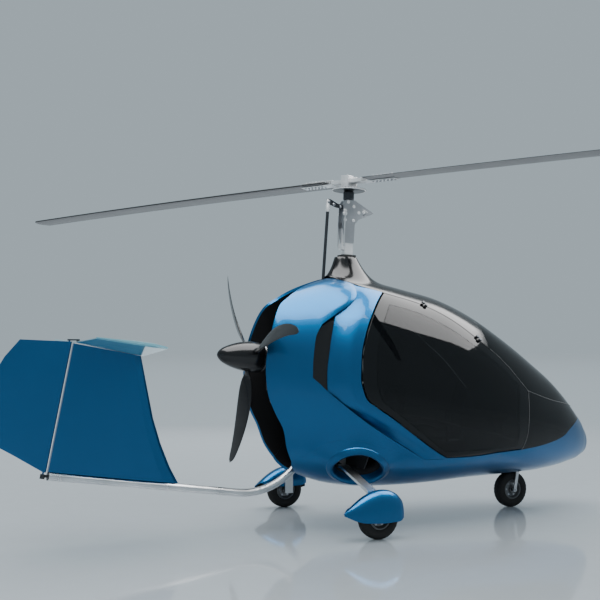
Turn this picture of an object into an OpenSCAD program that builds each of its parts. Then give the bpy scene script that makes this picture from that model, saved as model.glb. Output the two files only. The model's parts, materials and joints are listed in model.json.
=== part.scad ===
// Enclosed two-seat gyrocopter, parked on its tricycle gear.
// X points forward, Y to the left, Z up. The origin is on the ground under the main axle.

/* [Cabin] */
// Length of the cabin pod, from the rear opening to the nose
cabin_length = 3220; // [2600:20:3900]
// Greatest width of the cabin pod
cabin_width = 1160; // [960:10:1400]
// Height of the cabin pod, from the belly to the roof
cabin_height = 1650; // [1400:10:2000]
// Height of the belly over the ground
belly_height = 268; // [258:2:330]
// Thickness of the composite skin
skin_wall = 20; // [12:1:28]
// Thickness of a door frame
door_wall = 30; // [22:1:36]
// Thickness of the tinted glass
glass_wall = 6; // [4:0.5:10]

/* [Rotor] */
// Diameter of the two-bladed rotor
rotor_diameter = 8360; // [6600:20:10100]
// Chord of a rotor blade
blade_chord = 210; // [170:5:260]
// Height of the rotor hub over the ground
hub_height = 2680; // [2640:10:3000]
// Forward lean of the mast
mast_lean = 2.2; // [1:0.1:3]
// Side of the square mast tube
mast_side = 70; // [56:1:76]

/* [Tail] */
// Diameter of the tail boom tube
boom_diameter = 60; // [48:1:72]
// Span of the stabiliser
stabiliser_span = 1340; // [1100:10:1640]
// Distance from the main axle to the rudder's trailing edge
tail_length = 2580; // [2480:10:2900]

/* [Propeller] */
// Diameter of the propeller
prop_diameter = 1738; // [1440:2:1850]
// Diameter of the spinner
spinner_diameter = 236; // [200:2:280]

/* [Landing gear] */
// Distance between the main wheels' centres
wheel_track = 1626; // [1540:2:1960]
// Distance from the main axle to the nose wheel's axle
wheel_base = 1767; // [1740:1:1790]
// Outer diameter of the tyres
tyre_diameter = 305; // [284:1:308]
// Width of the tyres
tyre_width = 95; // [80:1:100]
// Diameter of the wheel rims
rim_diameter = 165; // [140:1:190]
// Diameter of a main axle
axle_diameter = 25; // [20:1:32]

/* [Hidden] */
// Clearances: a seam between fixed panels, the gap round a door, a shaft in its bore
seam_gap = 0.3;
door_gap = 4;
fit_gap = 0.3;

// Lengths for which the station tables below were drawn
drawn_length = 3220;
drawn_width = 1160;
drawn_height = 1650;
drawn_belly = 268;

// Pod stations: distance forward of the main axle, then height or width there
TOP = [[-640, 1560], [-520, 1735], [-380, 1790], [-200, 1855], [0, 1912], [200, 1915], [400, 1887],
       [668, 1834], [955, 1768], [1252, 1648], [1557, 1474], [1872, 1269], [2142, 1075], [2386, 841],
       [2498, 714], [2560, 600], [2580, 535]];
BELLY = [[-640, 430], [-400, 425], [-310, 400], [-60, 318], [160, 280], [480, 268], [860, 275],
         [1152, 290], [1557, 300], [1979, 315], [2308, 362], [2480, 410], [2560, 470], [2580, 520]];
HALF_WIDTH = [[-640, 205], [-580, 250], [-400, 335], [-200, 425], [0, 500], [300, 560], [600, 580],
              [1000, 570], [1300, 535], [1600, 475], [1900, 385], [2200, 270], [2400, 170],
              [2500, 105], [2560, 52], [2580, 10]];
WAIST = [[-640, 1150], [-200, 1080], [200, 1010], [600, 930], [1000, 850], [1500, 765],
         [2000, 665], [2400, 575], [2580, 530]];
FULLNESS = [[-640, 2], [-200, 2.2], [400, 2.5], [1500, 2.4], [2580, 2.1]];
nose_x = 2580;

// Smooth curve through a table of [position, value]
function slope(T, i) = (T[i + 1][1] - T[i][1]) / (T[i + 1][0] - T[i][0]);
function step(T, i) = T[i + 1][0] - T[i][0];
function grade(T, i) = i == 0 ? slope(T, 0)
    : i == len(T) - 1 ? slope(T, i - 1)
    : (slope(T, i - 1) * step(T, i) + slope(T, i) * step(T, i - 1)) / (step(T, i - 1) + step(T, i));
function segment(T, x, i = 0) = i >= len(T) - 2 || x < T[i + 1][0] ? i : segment(T, x, i + 1);
function curve(T, x) =
    let (i = segment(T, x), h = step(T, i), t = (x - T[i][0]) / h)
    (2 * t ^ 3 - 3 * t ^ 2 + 1) * T[i][1] + (t ^ 3 - 2 * t ^ 2 + t) * h * grade(T, i)
    + (3 * t ^ 2 - 2 * t ^ 3) * T[i + 1][1] + (t ^ 3 - t ^ 2) * h * grade(T, i + 1);

function unit(v) = v / norm(v);
function mix(a, b, t) = a + (b - a) * t;

// Drawn stations carried to the real pod
function pod_x(x) = x * cabin_length / drawn_length;
function pod_y(y) = y * cabin_width / drawn_width;
function pod_z(z) = belly_height + (z - drawn_belly) * cabin_height / drawn_height;

// A point of the outer skin at [station, angle round the section from the top, left positive]
function skin_point(q) =
    let (c = cos(q[1]), s = sin(q[1]), waist = curve(WAIST, q[0]), n = c < 0 ? curve(FULLNESS, q[0]) : 2)
    [pod_x(q[0]), pod_y(curve(HALF_WIDTH, q[0]) * sign(s) * abs(s) ^ (2 / n)),
     pod_z(waist + (c < 0 ? curve(BELLY, q[0]) - waist : curve(TOP, q[0]) - waist) * abs(c) ^ (2 / n))];

// Half width of the outer skin at a drawn station and height
function half_width_at(x, z) =
    let (waist = curve(WAIST, x), low = z < waist, n = low ? curve(FULLNESS, x) : 2,
         s = low ? (waist - z) / (waist - curve(BELLY, x)) : (z - waist) / (curve(TOP, x) - waist))
    pod_y(curve(HALF_WIDTH, x) * max(0, 1 - s ^ n) ^ (1 / n));

// The mast pylon, a flared fairing that stands on the roof round the mast
pylon_x = 168;
pylon_top = pod_z(2080);
pylon_half_length = 94;
pylon_half_width = 62;
function pylon_rise(p) =
    let (dx = p[0] - pod_x(pylon_x), r = norm([dx / pylon_half_length, p[1] / pylon_half_width]),
         reach = 3.2 + 0.7 * dx / max(1, norm([dx, p[1]])))
    r <= 1 ? 1 : max(0, 1 - (r - 1) / (reach - 1)) ^ 3;
function roof_point(q) =
    let (p = skin_point(q))
    [p[0], p[1], mix(p[2], pylon_top, pylon_rise(p))];

// Outward normal of the skin or of the roof with its pylon
function point(q, roof) = roof ? roof_point(q) : skin_point(q);
function normal(q, roof) = unit(cross(
    point([q[0] + 4, q[1]], roof) - point([q[0] - 4, q[1]], roof),
    point([q[0], q[1] + 0.5], roof) - point([q[0], q[1] - 0.5], roof)));

// Evenly spaced or chosen places along a smooth curve through drawn [station, angle] points
degree = 9;
function run(P, i) = i == 0 ? 0
    : run(P, i - 1) + norm([P[i][0] - P[i - 1][0], degree * (P[i][1] - P[i - 1][1])]);
function along(P, places) =
    let (R = [for (i = [0:len(P) - 1]) run(P, i)], last = R[len(P) - 1])
    [for (k = places)
        [curve([for (i = [0:len(P) - 1]) [R[i], P[i][0]]], last * k),
         curve([for (i = [0:len(P) - 1]) [R[i], P[i][1]]], last * k)]];
function even(n) = [for (i = [0:n]) i / n];

// Patch between four edges, each a list of [station, angle]
function patch(bottom, top, left, right, rows, cols) =
    let (m = len(rows) - 1, n = len(cols) - 1)
    [for (i = [0:m]) let (s = rows[i])
        [for (j = [0:n]) let (t = cols[j])
            (1 - t) * left[i] + t * right[i] + (1 - s) * bottom[j] + s * top[j]
            - (1 - s) * ((1 - t) * bottom[0] + t * bottom[n]) - s * ((1 - t) * top[0] + t * top[n])]];

// A grid of points drawn back from its neighbours by gaps = [first row, last row, first col, last col]
function drawn_back(G, gaps) =
    let (m = len(G) - 1, n = len(G[0]) - 1)
    [for (i = [0:m]) [for (j = [0:n])
        let (p = G[i][j],
             a = i == 0 ? gaps[0] * unit(G[1][j] - p) : i == m ? gaps[1] * unit(G[m - 1][j] - p) : [0, 0, 0],
             b = j == 0 ? gaps[2] * unit(G[i][1] - p) : j == n ? gaps[3] * unit(G[i][n - 1] - p) : [0, 0, 0])
        p + a + b]];

// A closed shell between an outer and an inner grid; holes = [row, row, col, col] ranges left open
module shell(outer, inner, holes = []) {
    m = len(outer) - 1;
    n = len(outer[0]) - 1;
    w = n + 1;
    k = (m + 1) * w;
    function kept(i, j) = i >= 0 && i < m && j >= 0 && j < n
        && len([for (h = holes) if (i >= h[0] && i < h[1] && j >= h[2] && j < h[3]) 1]) == 0;
    faces = [for (i = [0:m - 1], j = [0:n - 1]) if (kept(i, j))
        let (a = i * w + j, b = a + 1, c = a + w + 1, d = a + w)
        each concat(
            [[a, b, c], [a, c, d], [k + a, k + c, k + b], [k + a, k + d, k + c]],
            kept(i - 1, j) ? [] : [[a, k + a, k + b], [a, k + b, b]],
            kept(i + 1, j) ? [] : [[d, c, k + c], [d, k + c, k + d]],
            kept(i, j - 1) ? [] : [[a, d, k + d], [a, k + d, k + a]],
            kept(i, j + 1) ? [] : [[b, k + b, k + c], [b, k + c, c]])];
    polyhedron(concat([for (r = outer) each r], [for (r = inner) each r]), faces, convexity = 6);
}

// A panel of the pod's skin over a grid of [station, angle]
module panel(Q, wall, gaps, holes = [], roof = false) {
    outer = [for (r = Q) [for (q = r) point(q, roof)]];
    inner = [for (r = Q) [for (q = r) point(q, roof) - wall * normal(q, roof)]];
    shell(drawn_back(outer, gaps), drawn_back(inner, gaps), holes);
}

// Edges of the panels, as [station, angle] points on the left side
ROOF_EDGE = [[0, 5.5], [40, 13], [90, 18], [160, 22.5], [360, 27], [710, 30.5], [940, 37.5],
             [1150, 45.5], [1400, 54.5], [1620, 67]];
function roof_edge(x) = [x, curve(ROOF_EDGE, x)];
COWL_TOP_X = [0, 15, 30, 45, 60, 80, 100, 120, 139];
PILLAR_TOP_X = [139, 177, 215, 262, 310, 360];
DOOR_TOP_X = [360, 450, 580, 710, 855, 1000, 1150, 1250, 1400, 1530, 1620];
SEAM = [[-384, 151], [-300, 139], [-170, 123], [-50, 117.5], [70, 116], [190, 117], [320, 119.5],
        [460, 122.5], [600, 125]];
PILLAR_FOOT = [[600, 125], [640, 124.7], [680, 124.3], [715, 124], [750, 123.5], [790, 123]];
SILL_X = [790, 860, 940, 1020, 1100, 1180, 1260, 1340, 1410, 1470, 1540];
SILL = [[790, 123], [1100, 121], [1300, 118], [1540, 114.5]];
function sill(x) = [x, curve(SILL, x)];
REAR_EDGE = [[-384, 151], [-443, 137], [-495, 120], [-545, 112], [-600, 100], [-613, 90], [-610, 75],
             [-582, 58], [-524, 41], [-452, 27], [-385, 20], [-195, 7.5], [-90, 6], [0, 5.5]];
CREASE = [[600, 125], [460, 118.3], [320, 112.6], [170, 107.8], [20, 104], [-110, 101.5]];
COWL_LIP = [[-200, 100.3], [-287, 98], [-302, 83], [-285, 70], [-255, 60], [-205, 53.5]];
PILLAR_LIP = [[-196, 99.8], [-204, 90], [-197, 78.5], [-176, 70], [-150, 61], [-125, 54.5]];
VALLEY = [[-100, 48], [20, 42], [110, 34], roof_edge(139)];
DOOR_REAR = [[790, 123], [440, 105.5], [270, 98.8], [160, 95.5], [70, 92], [38, 86], [40, 79.5],
             [60, 69.5], [100, 61], [210, 45], [360, 27]];
DOOR_FRONT = [[1540, 114.5], [1580, 100], [1602, 84], [1620, 67]];
WINDSCREEN_FOOT = [[1620, 67], [1740, 66], [1860, 64.3], [1980, 61.5], [2090, 57], [2180, 51],
                   [2250, 44], [2305, 36], [2345, 26], [2370, 14], [2380, 0]];
BLUE_LINE = [[1540, 114.5], [1600, 113.2], [1760, 109], [1930, 102.5], [2000, 99], [2090, 93],
             [2190, 83], [2280, 72], [2360, 57], [2430, 36], [2470, 0]];
first_nose_point = 4;

function mirrored(P) = [for (q = P) [q[0], -q[1]]];
function reversed(P) = [for (i = [len(P) - 1:-1:0]) P[i]];
module both_sides(side) {
    if (side > 0) children();
    else mirror([0, 1, 0]) children();
}

// Roof strip between the doors, with the mast pylon moulded in
ROOF_X = concat(COWL_TOP_X, [for (i = [1:5]) PILLAR_TOP_X[i]], [for (i = [1:7]) DOOR_TOP_X[i]]);
across = 10;
mast_row = search(139, ROOF_X)[0];
module roof_strip() {
    Q = [for (x = ROOF_X) [for (j = [-across:across]) [x, j / across * roof_edge(x)[1]]]];
    gaps = [seam_gap, seam_gap, seam_gap, seam_gap];
    color("#20242a") panel(Q, skin_wall, gaps, [[mast_row, mast_row + 2, across - 2, across + 2]], true);
}

// Windscreen, from the roof strip down to the nose window
windscreen_rear = 1250;
module windscreen() {
    rows = [0, 0.2, 0.41, 0.6, 0.76, 0.89, 1];
    rear = roof_edge(windscreen_rear);
    foot = reversed(WINDSCREEN_FOOT);
    Q = [for (s = rows) [for (j = [-across:across])
        let (q = abs(j) / across, f = foot[abs(j)], side = mix(rear, [1620, 67], s),
             bulge = q ^ 3 * (roof_edge(side[0])[1] - side[1]))
        [mix(rear[0], f[0], s), sign(j) * (mix(q * rear[1], f[1], s) + bulge)]]];
    color("#14171b") panel(Q, glass_wall, [seam_gap, seam_gap, door_gap, door_gap]);
}

// Wrap-round nose window under the windscreen
module nose_window() {
    top = concat(mirrored(WINDSCREEN_FOOT), [for (i = [1:across]) reversed(WINDSCREEN_FOOT)[i]]);
    bottom = concat(mirrored(BLUE_LINE), [for (i = [1:across]) reversed(BLUE_LINE)[i]]);
    rows = [0, 0.3, 0.65, 1];
    front = along(DOOR_FRONT, rows);
    Q = [for (i = [0:len(rows) - 1]) [for (j = [0:2 * across])
        let (side = j < across ? -1 : 1, q = abs(j - across) / across,
             straight = mix([1540, 114.5], [1620, 67], rows[i]),
             swell = q ^ 4 * (front[i] - straight))
        mix(bottom[j], top[j], rows[i]) + [swell[0], side * swell[1]]]];
    color("#14171b") panel([for (r = Q) reversed(r)], glass_wall, [seam_gap, seam_gap, door_gap, door_gap]);
}

// Door: a frame with its window cut out, and the tinted pane that fills it
door_rows = [0, 0.08, 0.26, 0.38, 0.47, 0.567, 0.607, 0.69, 0.8, 0.91, 1];
door_cols = [0, 0.07, 0.17, 0.28, 0.4, 0.51, 0.63, 0.71, 0.83, 0.93, 1];
DOOR_GRID = patch([for (x = SILL_X) sill(x)], [for (x = DOOR_TOP_X) roof_edge(x)],
    along(DOOR_REAR, door_rows), along(DOOR_FRONT, door_rows), door_rows, door_cols);
module door(side) {
    m = len(door_rows) - 1;
    n = len(door_cols) - 1;
    gaps = [door_gap + 6, door_gap + 2, door_gap + 6, door_gap + 1];
    color("#14171b") both_sides(side) panel(DOOR_GRID, door_wall, gaps, [[1, m - 1, 1, n - 1]]);
}
module door_pane(side) {
    m = len(door_rows) - 1;
    n = len(door_cols) - 1;
    Q = [for (i = [1:m - 1]) [for (j = [1:n - 1]) DOOR_GRID[i][j]]];
    gaps = [seam_gap, seam_gap, seam_gap, seam_gap];
    color("#101214") both_sides(side) panel(Q, glass_wall, gaps);
}

// Blue body panels
blue = "#0a78b4";
module rear_cowl(side) {
    right = concat(CREASE, COWL_LIP, VALLEY);
    rows = even(len(right) - 1);
    cols = even(len(SEAM) - 1);
    Q = patch(SEAM, [for (x = COWL_TOP_X) roof_edge(x)], along(REAR_EDGE, rows), right, rows, cols);
    gaps = [seam_gap, seam_gap, 0, seam_gap];
    color(blue) both_sides(side) panel(Q, skin_wall, gaps);
}
pillar_rows = [0, 0.13, 0.26, 0.38, 0.43, 0.47, 0.52, 0.567, 0.607, 0.65, 0.69, 0.75, 0.8, 0.86, 0.91, 1];
module side_pillar(side) {
    left = concat(CREASE, PILLAR_LIP, VALLEY);
    rows = even(len(left) - 1);
    cols = even(len(PILLAR_FOOT) - 1);
    Q = patch(PILLAR_FOOT, [for (x = PILLAR_TOP_X) roof_edge(x)], left, along(DOOR_REAR, pillar_rows), rows, cols);
    gaps = [seam_gap, seam_gap, seam_gap, door_gap];
    color(blue) both_sides(side) panel(Q, skin_wall, gaps);
}

// Lower hull, with its two leg sockets and the nose wheel's well
HULL_SIDE = concat(SEAM, [for (i = [1:5]) PILLAR_FOOT[i]], [for (i = [1:10]) sill(SILL_X[i])],
    [for (i = [1:first_nose_point]) BLUE_LINE[i]]);
hull_cols = 9;
notch_depth = 134;
notch_end = 400;
function hull_point(edge, j) =
    let (p = 1 - abs(j) / hull_cols, notch = notch_depth * max(0, 1 - (edge[0] + 384) / notch_end))
    [edge[0] + notch * p ^ 1.4, j < 0 ? mix(edge[1], 180, p) : mix(360 - edge[1], 180, p)];
module lower_hull() {
    Q = [for (edge = HULL_SIDE) [for (j = [-hull_cols:hull_cols]) hull_point(edge, j)]];
    socket = search(-50, [for (q = HULL_SIDE) q[0]])[0];
    well = search(1600, [for (q = HULL_SIDE) q[0]])[0];
    holes = [[socket, socket + 2, 2, 5], [socket, socket + 2, 2 * hull_cols - 5, 2 * hull_cols - 2],
             [well, well + 2, hull_cols - 2, hull_cols + 2]];
    gaps = [0, seam_gap, seam_gap, seam_gap];
    color(blue) panel(Q, skin_wall, gaps, holes);
}

// Nose cap: rays run from its edge to the tip
nose_rings = 6;
NOSE_RIM = concat(
    [for (i = [first_nose_point:across]) BLUE_LINE[i]],
    [for (i = [across - 1:-1:first_nose_point]) [BLUE_LINE[i][0], -BLUE_LINE[i][1]]],
    [for (j = [hull_cols - 1:-1:1 - hull_cols]) hull_point(BLUE_LINE[first_nose_point], j)]);
module nose_cap() {
    n = len(NOSE_RIM);
    function ray(q, k) = [nose_x - (nose_x - q[0]) * (1 - k / nose_rings) ^ 2, q[1]];
    centre = [pod_x(1950), 0, pod_z(600)];
    outer = [for (k = [0:nose_rings]) [for (q = NOSE_RIM) skin_point(ray(q, k))]];
    inner = [for (r = outer) [for (p = r) p - skin_wall * unit(p - centre)]];
    seated = [for (G = [[outer, 0.9], [inner, 6]]) [for (k = [0:nose_rings])
        k > 0 ? G[0][k] : [for (i = [0:n - 1]) G[0][0][i] + G[1] * unit(G[0][1][i] - G[0][0][i])]]];
    total = (nose_rings + 1) * n;
    faces = concat(
        [for (k = [0:nose_rings - 1], i = [0:n - 1])
            let (a = k * n + i, b = k * n + (i + 1) % n, c = b + n, d = a + n)
            each [[a, c, b], [a, d, c], [total + a, total + b, total + c], [total + a, total + c, total + d]]],
        [for (i = [0:n - 1]) let (b = (i + 1) % n) each [[i, b, total + b], [i, total + b, total + i]]],
        [[for (i = [0:n - 1]) nose_rings * n + i]],
        [[for (i = [n - 1:-1:0]) total + nose_rings * n + i]]);
    color(blue) polyhedron(concat([for (r = seated[0]) each r], [for (r = seated[1]) each r]), faces);
}

// Mast frame: the origin is at the mast's foot on the keel and Z runs up the leaning mast
keel_top = pod_z(395);
keel_height = 46;
keel_width = 60;
hub_x = 200;
foot_x = hub_x - (hub_height - keel_top) * tan(mast_lean);
hub_up = (hub_height - keel_top) / cos(mast_lean);
module on_mast(up) {
    translate([foot_x, 0, keel_top]) rotate([0, mast_lean, 0]) translate([0, 0, up]) children();
}
function mast_x(z) = foot_x + (z - keel_top) * tan(mast_lean);

steering_x = wheel_base + 33;
keel_front = steering_x - 60;
leg_z = keel_top + 75;
leg_width = 72;
leg_thickness = 18;
module keel() {
    color("#8c9095") difference() {
        union() {
            translate([-40, -keel_width / 2, keel_top - keel_height])
                cube([keel_front + 80, keel_width, keel_height]);
            translate([-leg_width / 2, -keel_width / 2, keel_top])
                cube([leg_width, keel_width, leg_z - leg_thickness / 2 - keel_top - 0.9]);
            translate([steering_x, 0, head_low]) cylinder(r = 27, h = 150, $fn = 64);
        }
        translate([steering_x, 0, head_low - 1]) cylinder(r = stem_radius + fit_gap, h = 200, $fn = 64);
    }
}

mast_wall = 5;
mast_end = hub_up - 370;
mast_foot_cut = mast_side / 2 * tan(mast_lean) + 0.2;
module mast() {
    color("#c9ccd0") on_mast(mast_foot_cut) linear_extrude(mast_end - mast_foot_cut) difference() {
        square(mast_side, center = true);
        square(mast_side - 2 * mast_wall, center = true);
    }
}

// Rotor head on the mast: cheek plates joined by a block, and the bearing housing on top
plate_wall = 6;
block_low = hub_up - 330;
block_high = hub_up - 185;
module rotor_head() {
    outline = [[-38, mast_end - 120], [38, mast_end - 120], [42, block_low - 10], [72, block_low + 30],
               [195, block_low + 84], [205, block_low + 92], [195, block_low + 100], [70, block_high + 18],
               [40, block_high + 34], [-40, block_high + 34], [-62, block_high], [-66, block_low - 20],
               [-60, mast_end - 40]];
    color("#9da1a6") {
        for (side = [-1, 1])
            on_mast(0) translate([0, side * (mast_side + plate_wall) / 2 + plate_wall / 2, 0])
                rotate([90, 0, 0]) linear_extrude(plate_wall) polygon(outline);
        on_mast(block_low) translate([-38, -mast_side / 2, 0])
            cube([76, mast_side, block_high - block_low + 34]);
    }
}
shaft_radius = 15;
housing_radius = 43;
housing_low = block_high + 34;
housing_high = hub_up - 73;
module bearing_housing() {
    color("#b9bcc0") on_mast(housing_low) rotate_extrude($fn = 64) polygon([
        [shaft_radius + fit_gap, 0], [housing_radius - 6, 0], [housing_radius, 10],
        [housing_radius, housing_high - housing_low - 14], [housing_radius - 8, housing_high - housing_low],
        [shaft_radius + fit_gap, housing_high - housing_low]]);
}

// Rubber collar that seals the mast where it leaves the pylon
collar_side = mast_side + 44;
module mast_collar() {
    up = (pylon_top - keel_top) / cos(mast_lean) + collar_side / 2 * tan(mast_lean) + seam_gap;
    color("#1b1d20") on_mast(up) linear_extrude(14) difference() {
        offset(8, $fn = 32) square(collar_side - 16, center = true);
        square(mast_side + 2 * fit_gap, center = true);
    }
}

// Control strut from a fitting behind the rotor head down into the engine bay
strut_radius = 12.5;
strut_top = [16, 2530];
strut_low = [-46, 1700];
module control_strut() {
    top = hub_height - 2680 + strut_top[1];
    low = pod_z(strut_low[1]);
    lean = atan((strut_top[0] - strut_low[0]) / (top - low));
    arm = mast_x(top) - 38 - strut_top[0] - fit_gap;
    color("#3a3d42") {
        translate([strut_low[0], 0, low]) rotate([0, lean, 0])
            cylinder(r = strut_radius, h = (top - low) / cos(lean), $fn = 32);
        on_mast((top - keel_top) / cos(mast_lean) - 30) translate([-38 - fit_gap - arm, -14, -14])
            cube([arm, 28, 44]);
    }
}

// Rotor: ring gear and teeter tower turn on the mast; hub bar and blades rock on the tower
ring_radius = 136;
tower_gap = 96;
module rotor_tower() {
    color("#202226") on_mast(0) {
        translate([0, 0, housing_high + fit_gap]) cylinder(r = ring_radius, h = 12, $fn = 96);
        translate([0, 0, housing_low + 20]) cylinder(r = shaft_radius, h = housing_high + fit_gap - housing_low - 20, $fn = 48);
    }
    color("#e4e6e8") on_mast(housing_high + fit_gap + 12) rotate([0, 0, blade_azimuth]) for (side = [-1, 1])
        translate([-35, side * (tower_gap + 12) / 2 - 6, 0]) difference() {
            cube([70, 12, 105]);
            translate([35, -1, hub_up - housing_high - fit_gap - 12])
                rotate([-90, 0, 0]) cylinder(r = teeter_radius, h = 14, $fn = 48);
        }
}
blade_azimuth = 114.4;
blade_incidence = 3;
teeter_radius = 10;
strap_end = 460;
strap_wall = 6;
blade_root = 230;
blade_thick = blade_chord * 0.12;
module hub_bar() {
    color("#d4d7da") on_mast(hub_up) rotate([0, 0, blade_azimuth]) {
        translate([-150, -40, -14]) cube([300, 80, 28]);
        rotate([90, 0, 0]) cylinder(r = teeter_radius - fit_gap, h = tower_gap + 20, center = true, $fn = 48);
        for (turn = [0, 180]) rotate([0, 0, turn]) {
            for (face = [-1, 1])
                translate([140, 0, 0]) rotate([blade_incidence, 0, 0])
                    translate([0, -40, face * (blade_thick / 2 + 1) + (face - 1) * strap_wall / 2])
                        cube([strap_end - 140, 80, strap_wall]);
        }
    }
}

// Blade section: distance back from the leading edge as a share of the chord, then half thickness
function foil(u) = 5 * 0.12 * (0.2969 * sqrt(u) - 0.126 * u - 0.3516 * u ^ 2 + 0.2843 * u ^ 3 - 0.1036 * u ^ 4);
FOIL_U = [0.02, 0.08, 0.2, 0.35, 0.55, 0.78, 1];
FOIL = concat([[0, 0]], [for (u = FOIL_U) [u, max(foil(u), 0.008)]],
              [for (i = [len(FOIL_U) - 1:-1:0]) [FOIL_U[i], -max(foil(FOIL_U[i]), 0.008)]]);
// Closed solid through a list of rings with equal counts of points
module loft(rings) {
    n = len(rings[0]);
    last = (len(rings) - 1) * n;
    polyhedron([for (r = rings) each r], concat(
        [for (k = [0:len(rings) - 2], i = [0:n - 1])
            let (a = k * n + i, b = k * n + (i + 1) % n)
            each [[a, b, b + n], [a, b + n, a + n]]],
        [[for (i = [n - 1:-1:0]) i]], [[for (i = [0:n - 1]) last + i]]), convexity = 4);
}
droop = 50;
module rotor_blade(turn) {
    span = rotor_diameter / 2;
    stations = [[blade_root, 1, 0], [span * 0.35, 1, 0], [span * 0.65, 1, 0], [span - 60, 1, 0], [span, 0.86, 0.14]];
    rings = [for (s = stations)
        let (low = droop * ((s[0] - blade_root) / span) ^ 2)
        [for (p = FOIL)
            [s[0], blade_chord * (0.3 - s[2] - p[0] * s[1]), blade_chord * s[1] * p[1] - low]]];
    color("#55595e") on_mast(hub_up) rotate([0, 0, blade_azimuth + turn]) rotate([blade_incidence, 0, 0])
        loft([for (r = rings) reversed(r)]);
}

// Tail boom: down and back out of the cabin, round a bend and up to the rudder
boom_wall = 4;
bracket_length = 90;
boom_rise = 8;
boom_drop = 42;
bend_radius = 535;
boom_sides = 32;
exit_x = -316;
exit_z = pod_z(404);
bend_x = exit_x - bend_radius * sin(boom_drop);
bend_z = exit_z + bend_radius * cos(boom_drop);
rear_x = bend_x - bend_radius * sin(boom_rise);
rear_z = bend_z - bend_radius * cos(boom_rise);
hinge_foot_x = -2194;
boom_end_x = hinge_foot_x + 36;
boom_length = (rear_x - boom_end_x) / cos(boom_rise);
bracket_z = exit_z + (mast_x(pod_z(770)) - mast_side / 2 - 40 - exit_x) * tan(boom_drop);
function boom_z(x) = rear_z + (rear_x - x) * tan(boom_rise);
// Hollow tube through a list of places, each a station, a height and a slope, closed at both ends' walls
module tube(places) {
    function round_at(place, radius) = [for (i = [0:boom_sides - 1]) let (a = i * 360 / boom_sides)
        [place[0] - radius * cos(a) * sin(place[2]), radius * sin(a), place[1] + radius * cos(a) * cos(place[2])]];
    outer = [for (p = places) round_at(p, boom_diameter / 2)];
    inner = [for (p = reversed(places)) round_at(p, boom_diameter / 2 - boom_wall)];
    rings = concat(outer, inner);
    n = len(rings);
    m = boom_sides;
    polyhedron([for (r = rings) each r],
               [for (k = [0:n - 1], i = [0:m - 1]) let (a = k * m, b = (k + 1) % n * m, j = (i + 1) % m)
                   each [[a + i, b + j, b + i], [a + i, a + j, b + j]]]);
}
front_run = (mast_x(bracket_z) - mast_side / 2 - 40 - exit_x) / cos(boom_drop);
module tail_boom() {
    color("#c4c7cb") {
        tube([for (place = concat([[rear_x - boom_length * cos(boom_rise), rear_z + boom_length * sin(boom_rise),
                                    -boom_rise]],
                                  [for (t = [0:0.1:1]) let (a = mix(-boom_rise, boom_drop, t))
                                      [bend_x + bend_radius * sin(a), bend_z - bend_radius * cos(a), a]],
                                  [[exit_x + front_run * cos(boom_drop), exit_z + front_run * sin(boom_drop),
                                    boom_drop]])) place]);
        boom_bracket();
    }
}
// Bracket welded on the boom's front end, bolted to the back of the mast
module boom_bracket() {
    on_mast((bracket_z - keel_top) / cos(mast_lean) - 60)
        translate([-mast_side / 2 - bracket_length, -45, 0]) cube([bracket_length, 90, 120]);
}

// Fin, stabiliser and rudder
hinge_top = [-2015, 1394];
hinge_foot = [hinge_foot_x, 494];
function hinge_line(z) = mix(hinge_foot[0], hinge_top[0], (z - hinge_foot[1]) / (hinge_top[1] - hinge_foot[1]));
FIN_FRONT = [[363, -1219], [480, -1285], [654, -1356], [830, -1409], [1020, -1446], [1295, -1498]];
fin_rear_gap = 30;
module fin() {
    rings = [for (t = [0, 0.12, 0.3, 0.5, 0.75, 1])
        let (z0 = mix(363, 1295, t), front = curve(FIN_FRONT, z0), half = mix(36, 26, t),
             z_front = mix(boom_z(front) + boom_diameter / 2 / cos(boom_rise) + fit_gap, 1301, t),
             rear = hinge_line(mix(500, 1394, t)) + fin_rear_gap,
             z_rear = mix(boom_z(rear) + boom_diameter / 2 / cos(boom_rise) + fit_gap, hinge_top[1] - 2, t),
             side = concat([for (p = [[0, 0.1], [0.03, 0.5], [0.12, 0.85], [0.35, 1], [0.7, 0.85], [1, 0.6]])
                 [mix(front, rear, p[0]), half * p[1], mix(z_front, z_rear, p[0])]]))
        concat(side, [for (p = reversed(side)) [p[0], -p[1], p[2]]])];
    color(blue) loft(reversed(rings));
}
module stabiliser() {
    half_span = stabiliser_span / 2;
    function ring(y, front, rear, z_front, z_rear, thick, lower) = [for (p = [[0, 0.15], [0.04, 0.6], [0.2, 1],
            [0.45, 0.95], [0.75, 0.55], [1, 0.12], [1, -lower], [0.75, -1.3 * lower], [0.45, -1.5 * lower],
            [0.2, -1.4 * lower], [0.04, -0.8 * lower], [0, -0.4 * lower]])
        [mix(front, rear, p[0]), y, mix(z_front, z_rear, p[0]) + thick * p[1]]];
    rings = [for (y = [-1, -0.96, -0.5, 0, 0.5, 0.96, 1])
        let (a = abs(y))
        ring(y * half_span, mix(-1478, -1505, a), mix(-1975, -1982, a), mix(1301, 1352, a) + (a == 1 ? 6 : 0),
             mix(1398, 1420, a) + (a == 1 ? 6 : 0), a == 1 ? 12 : 26, 0.1)];
    color("#2a93c8") loft(rings);
}
rudder_nose = 20;
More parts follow.
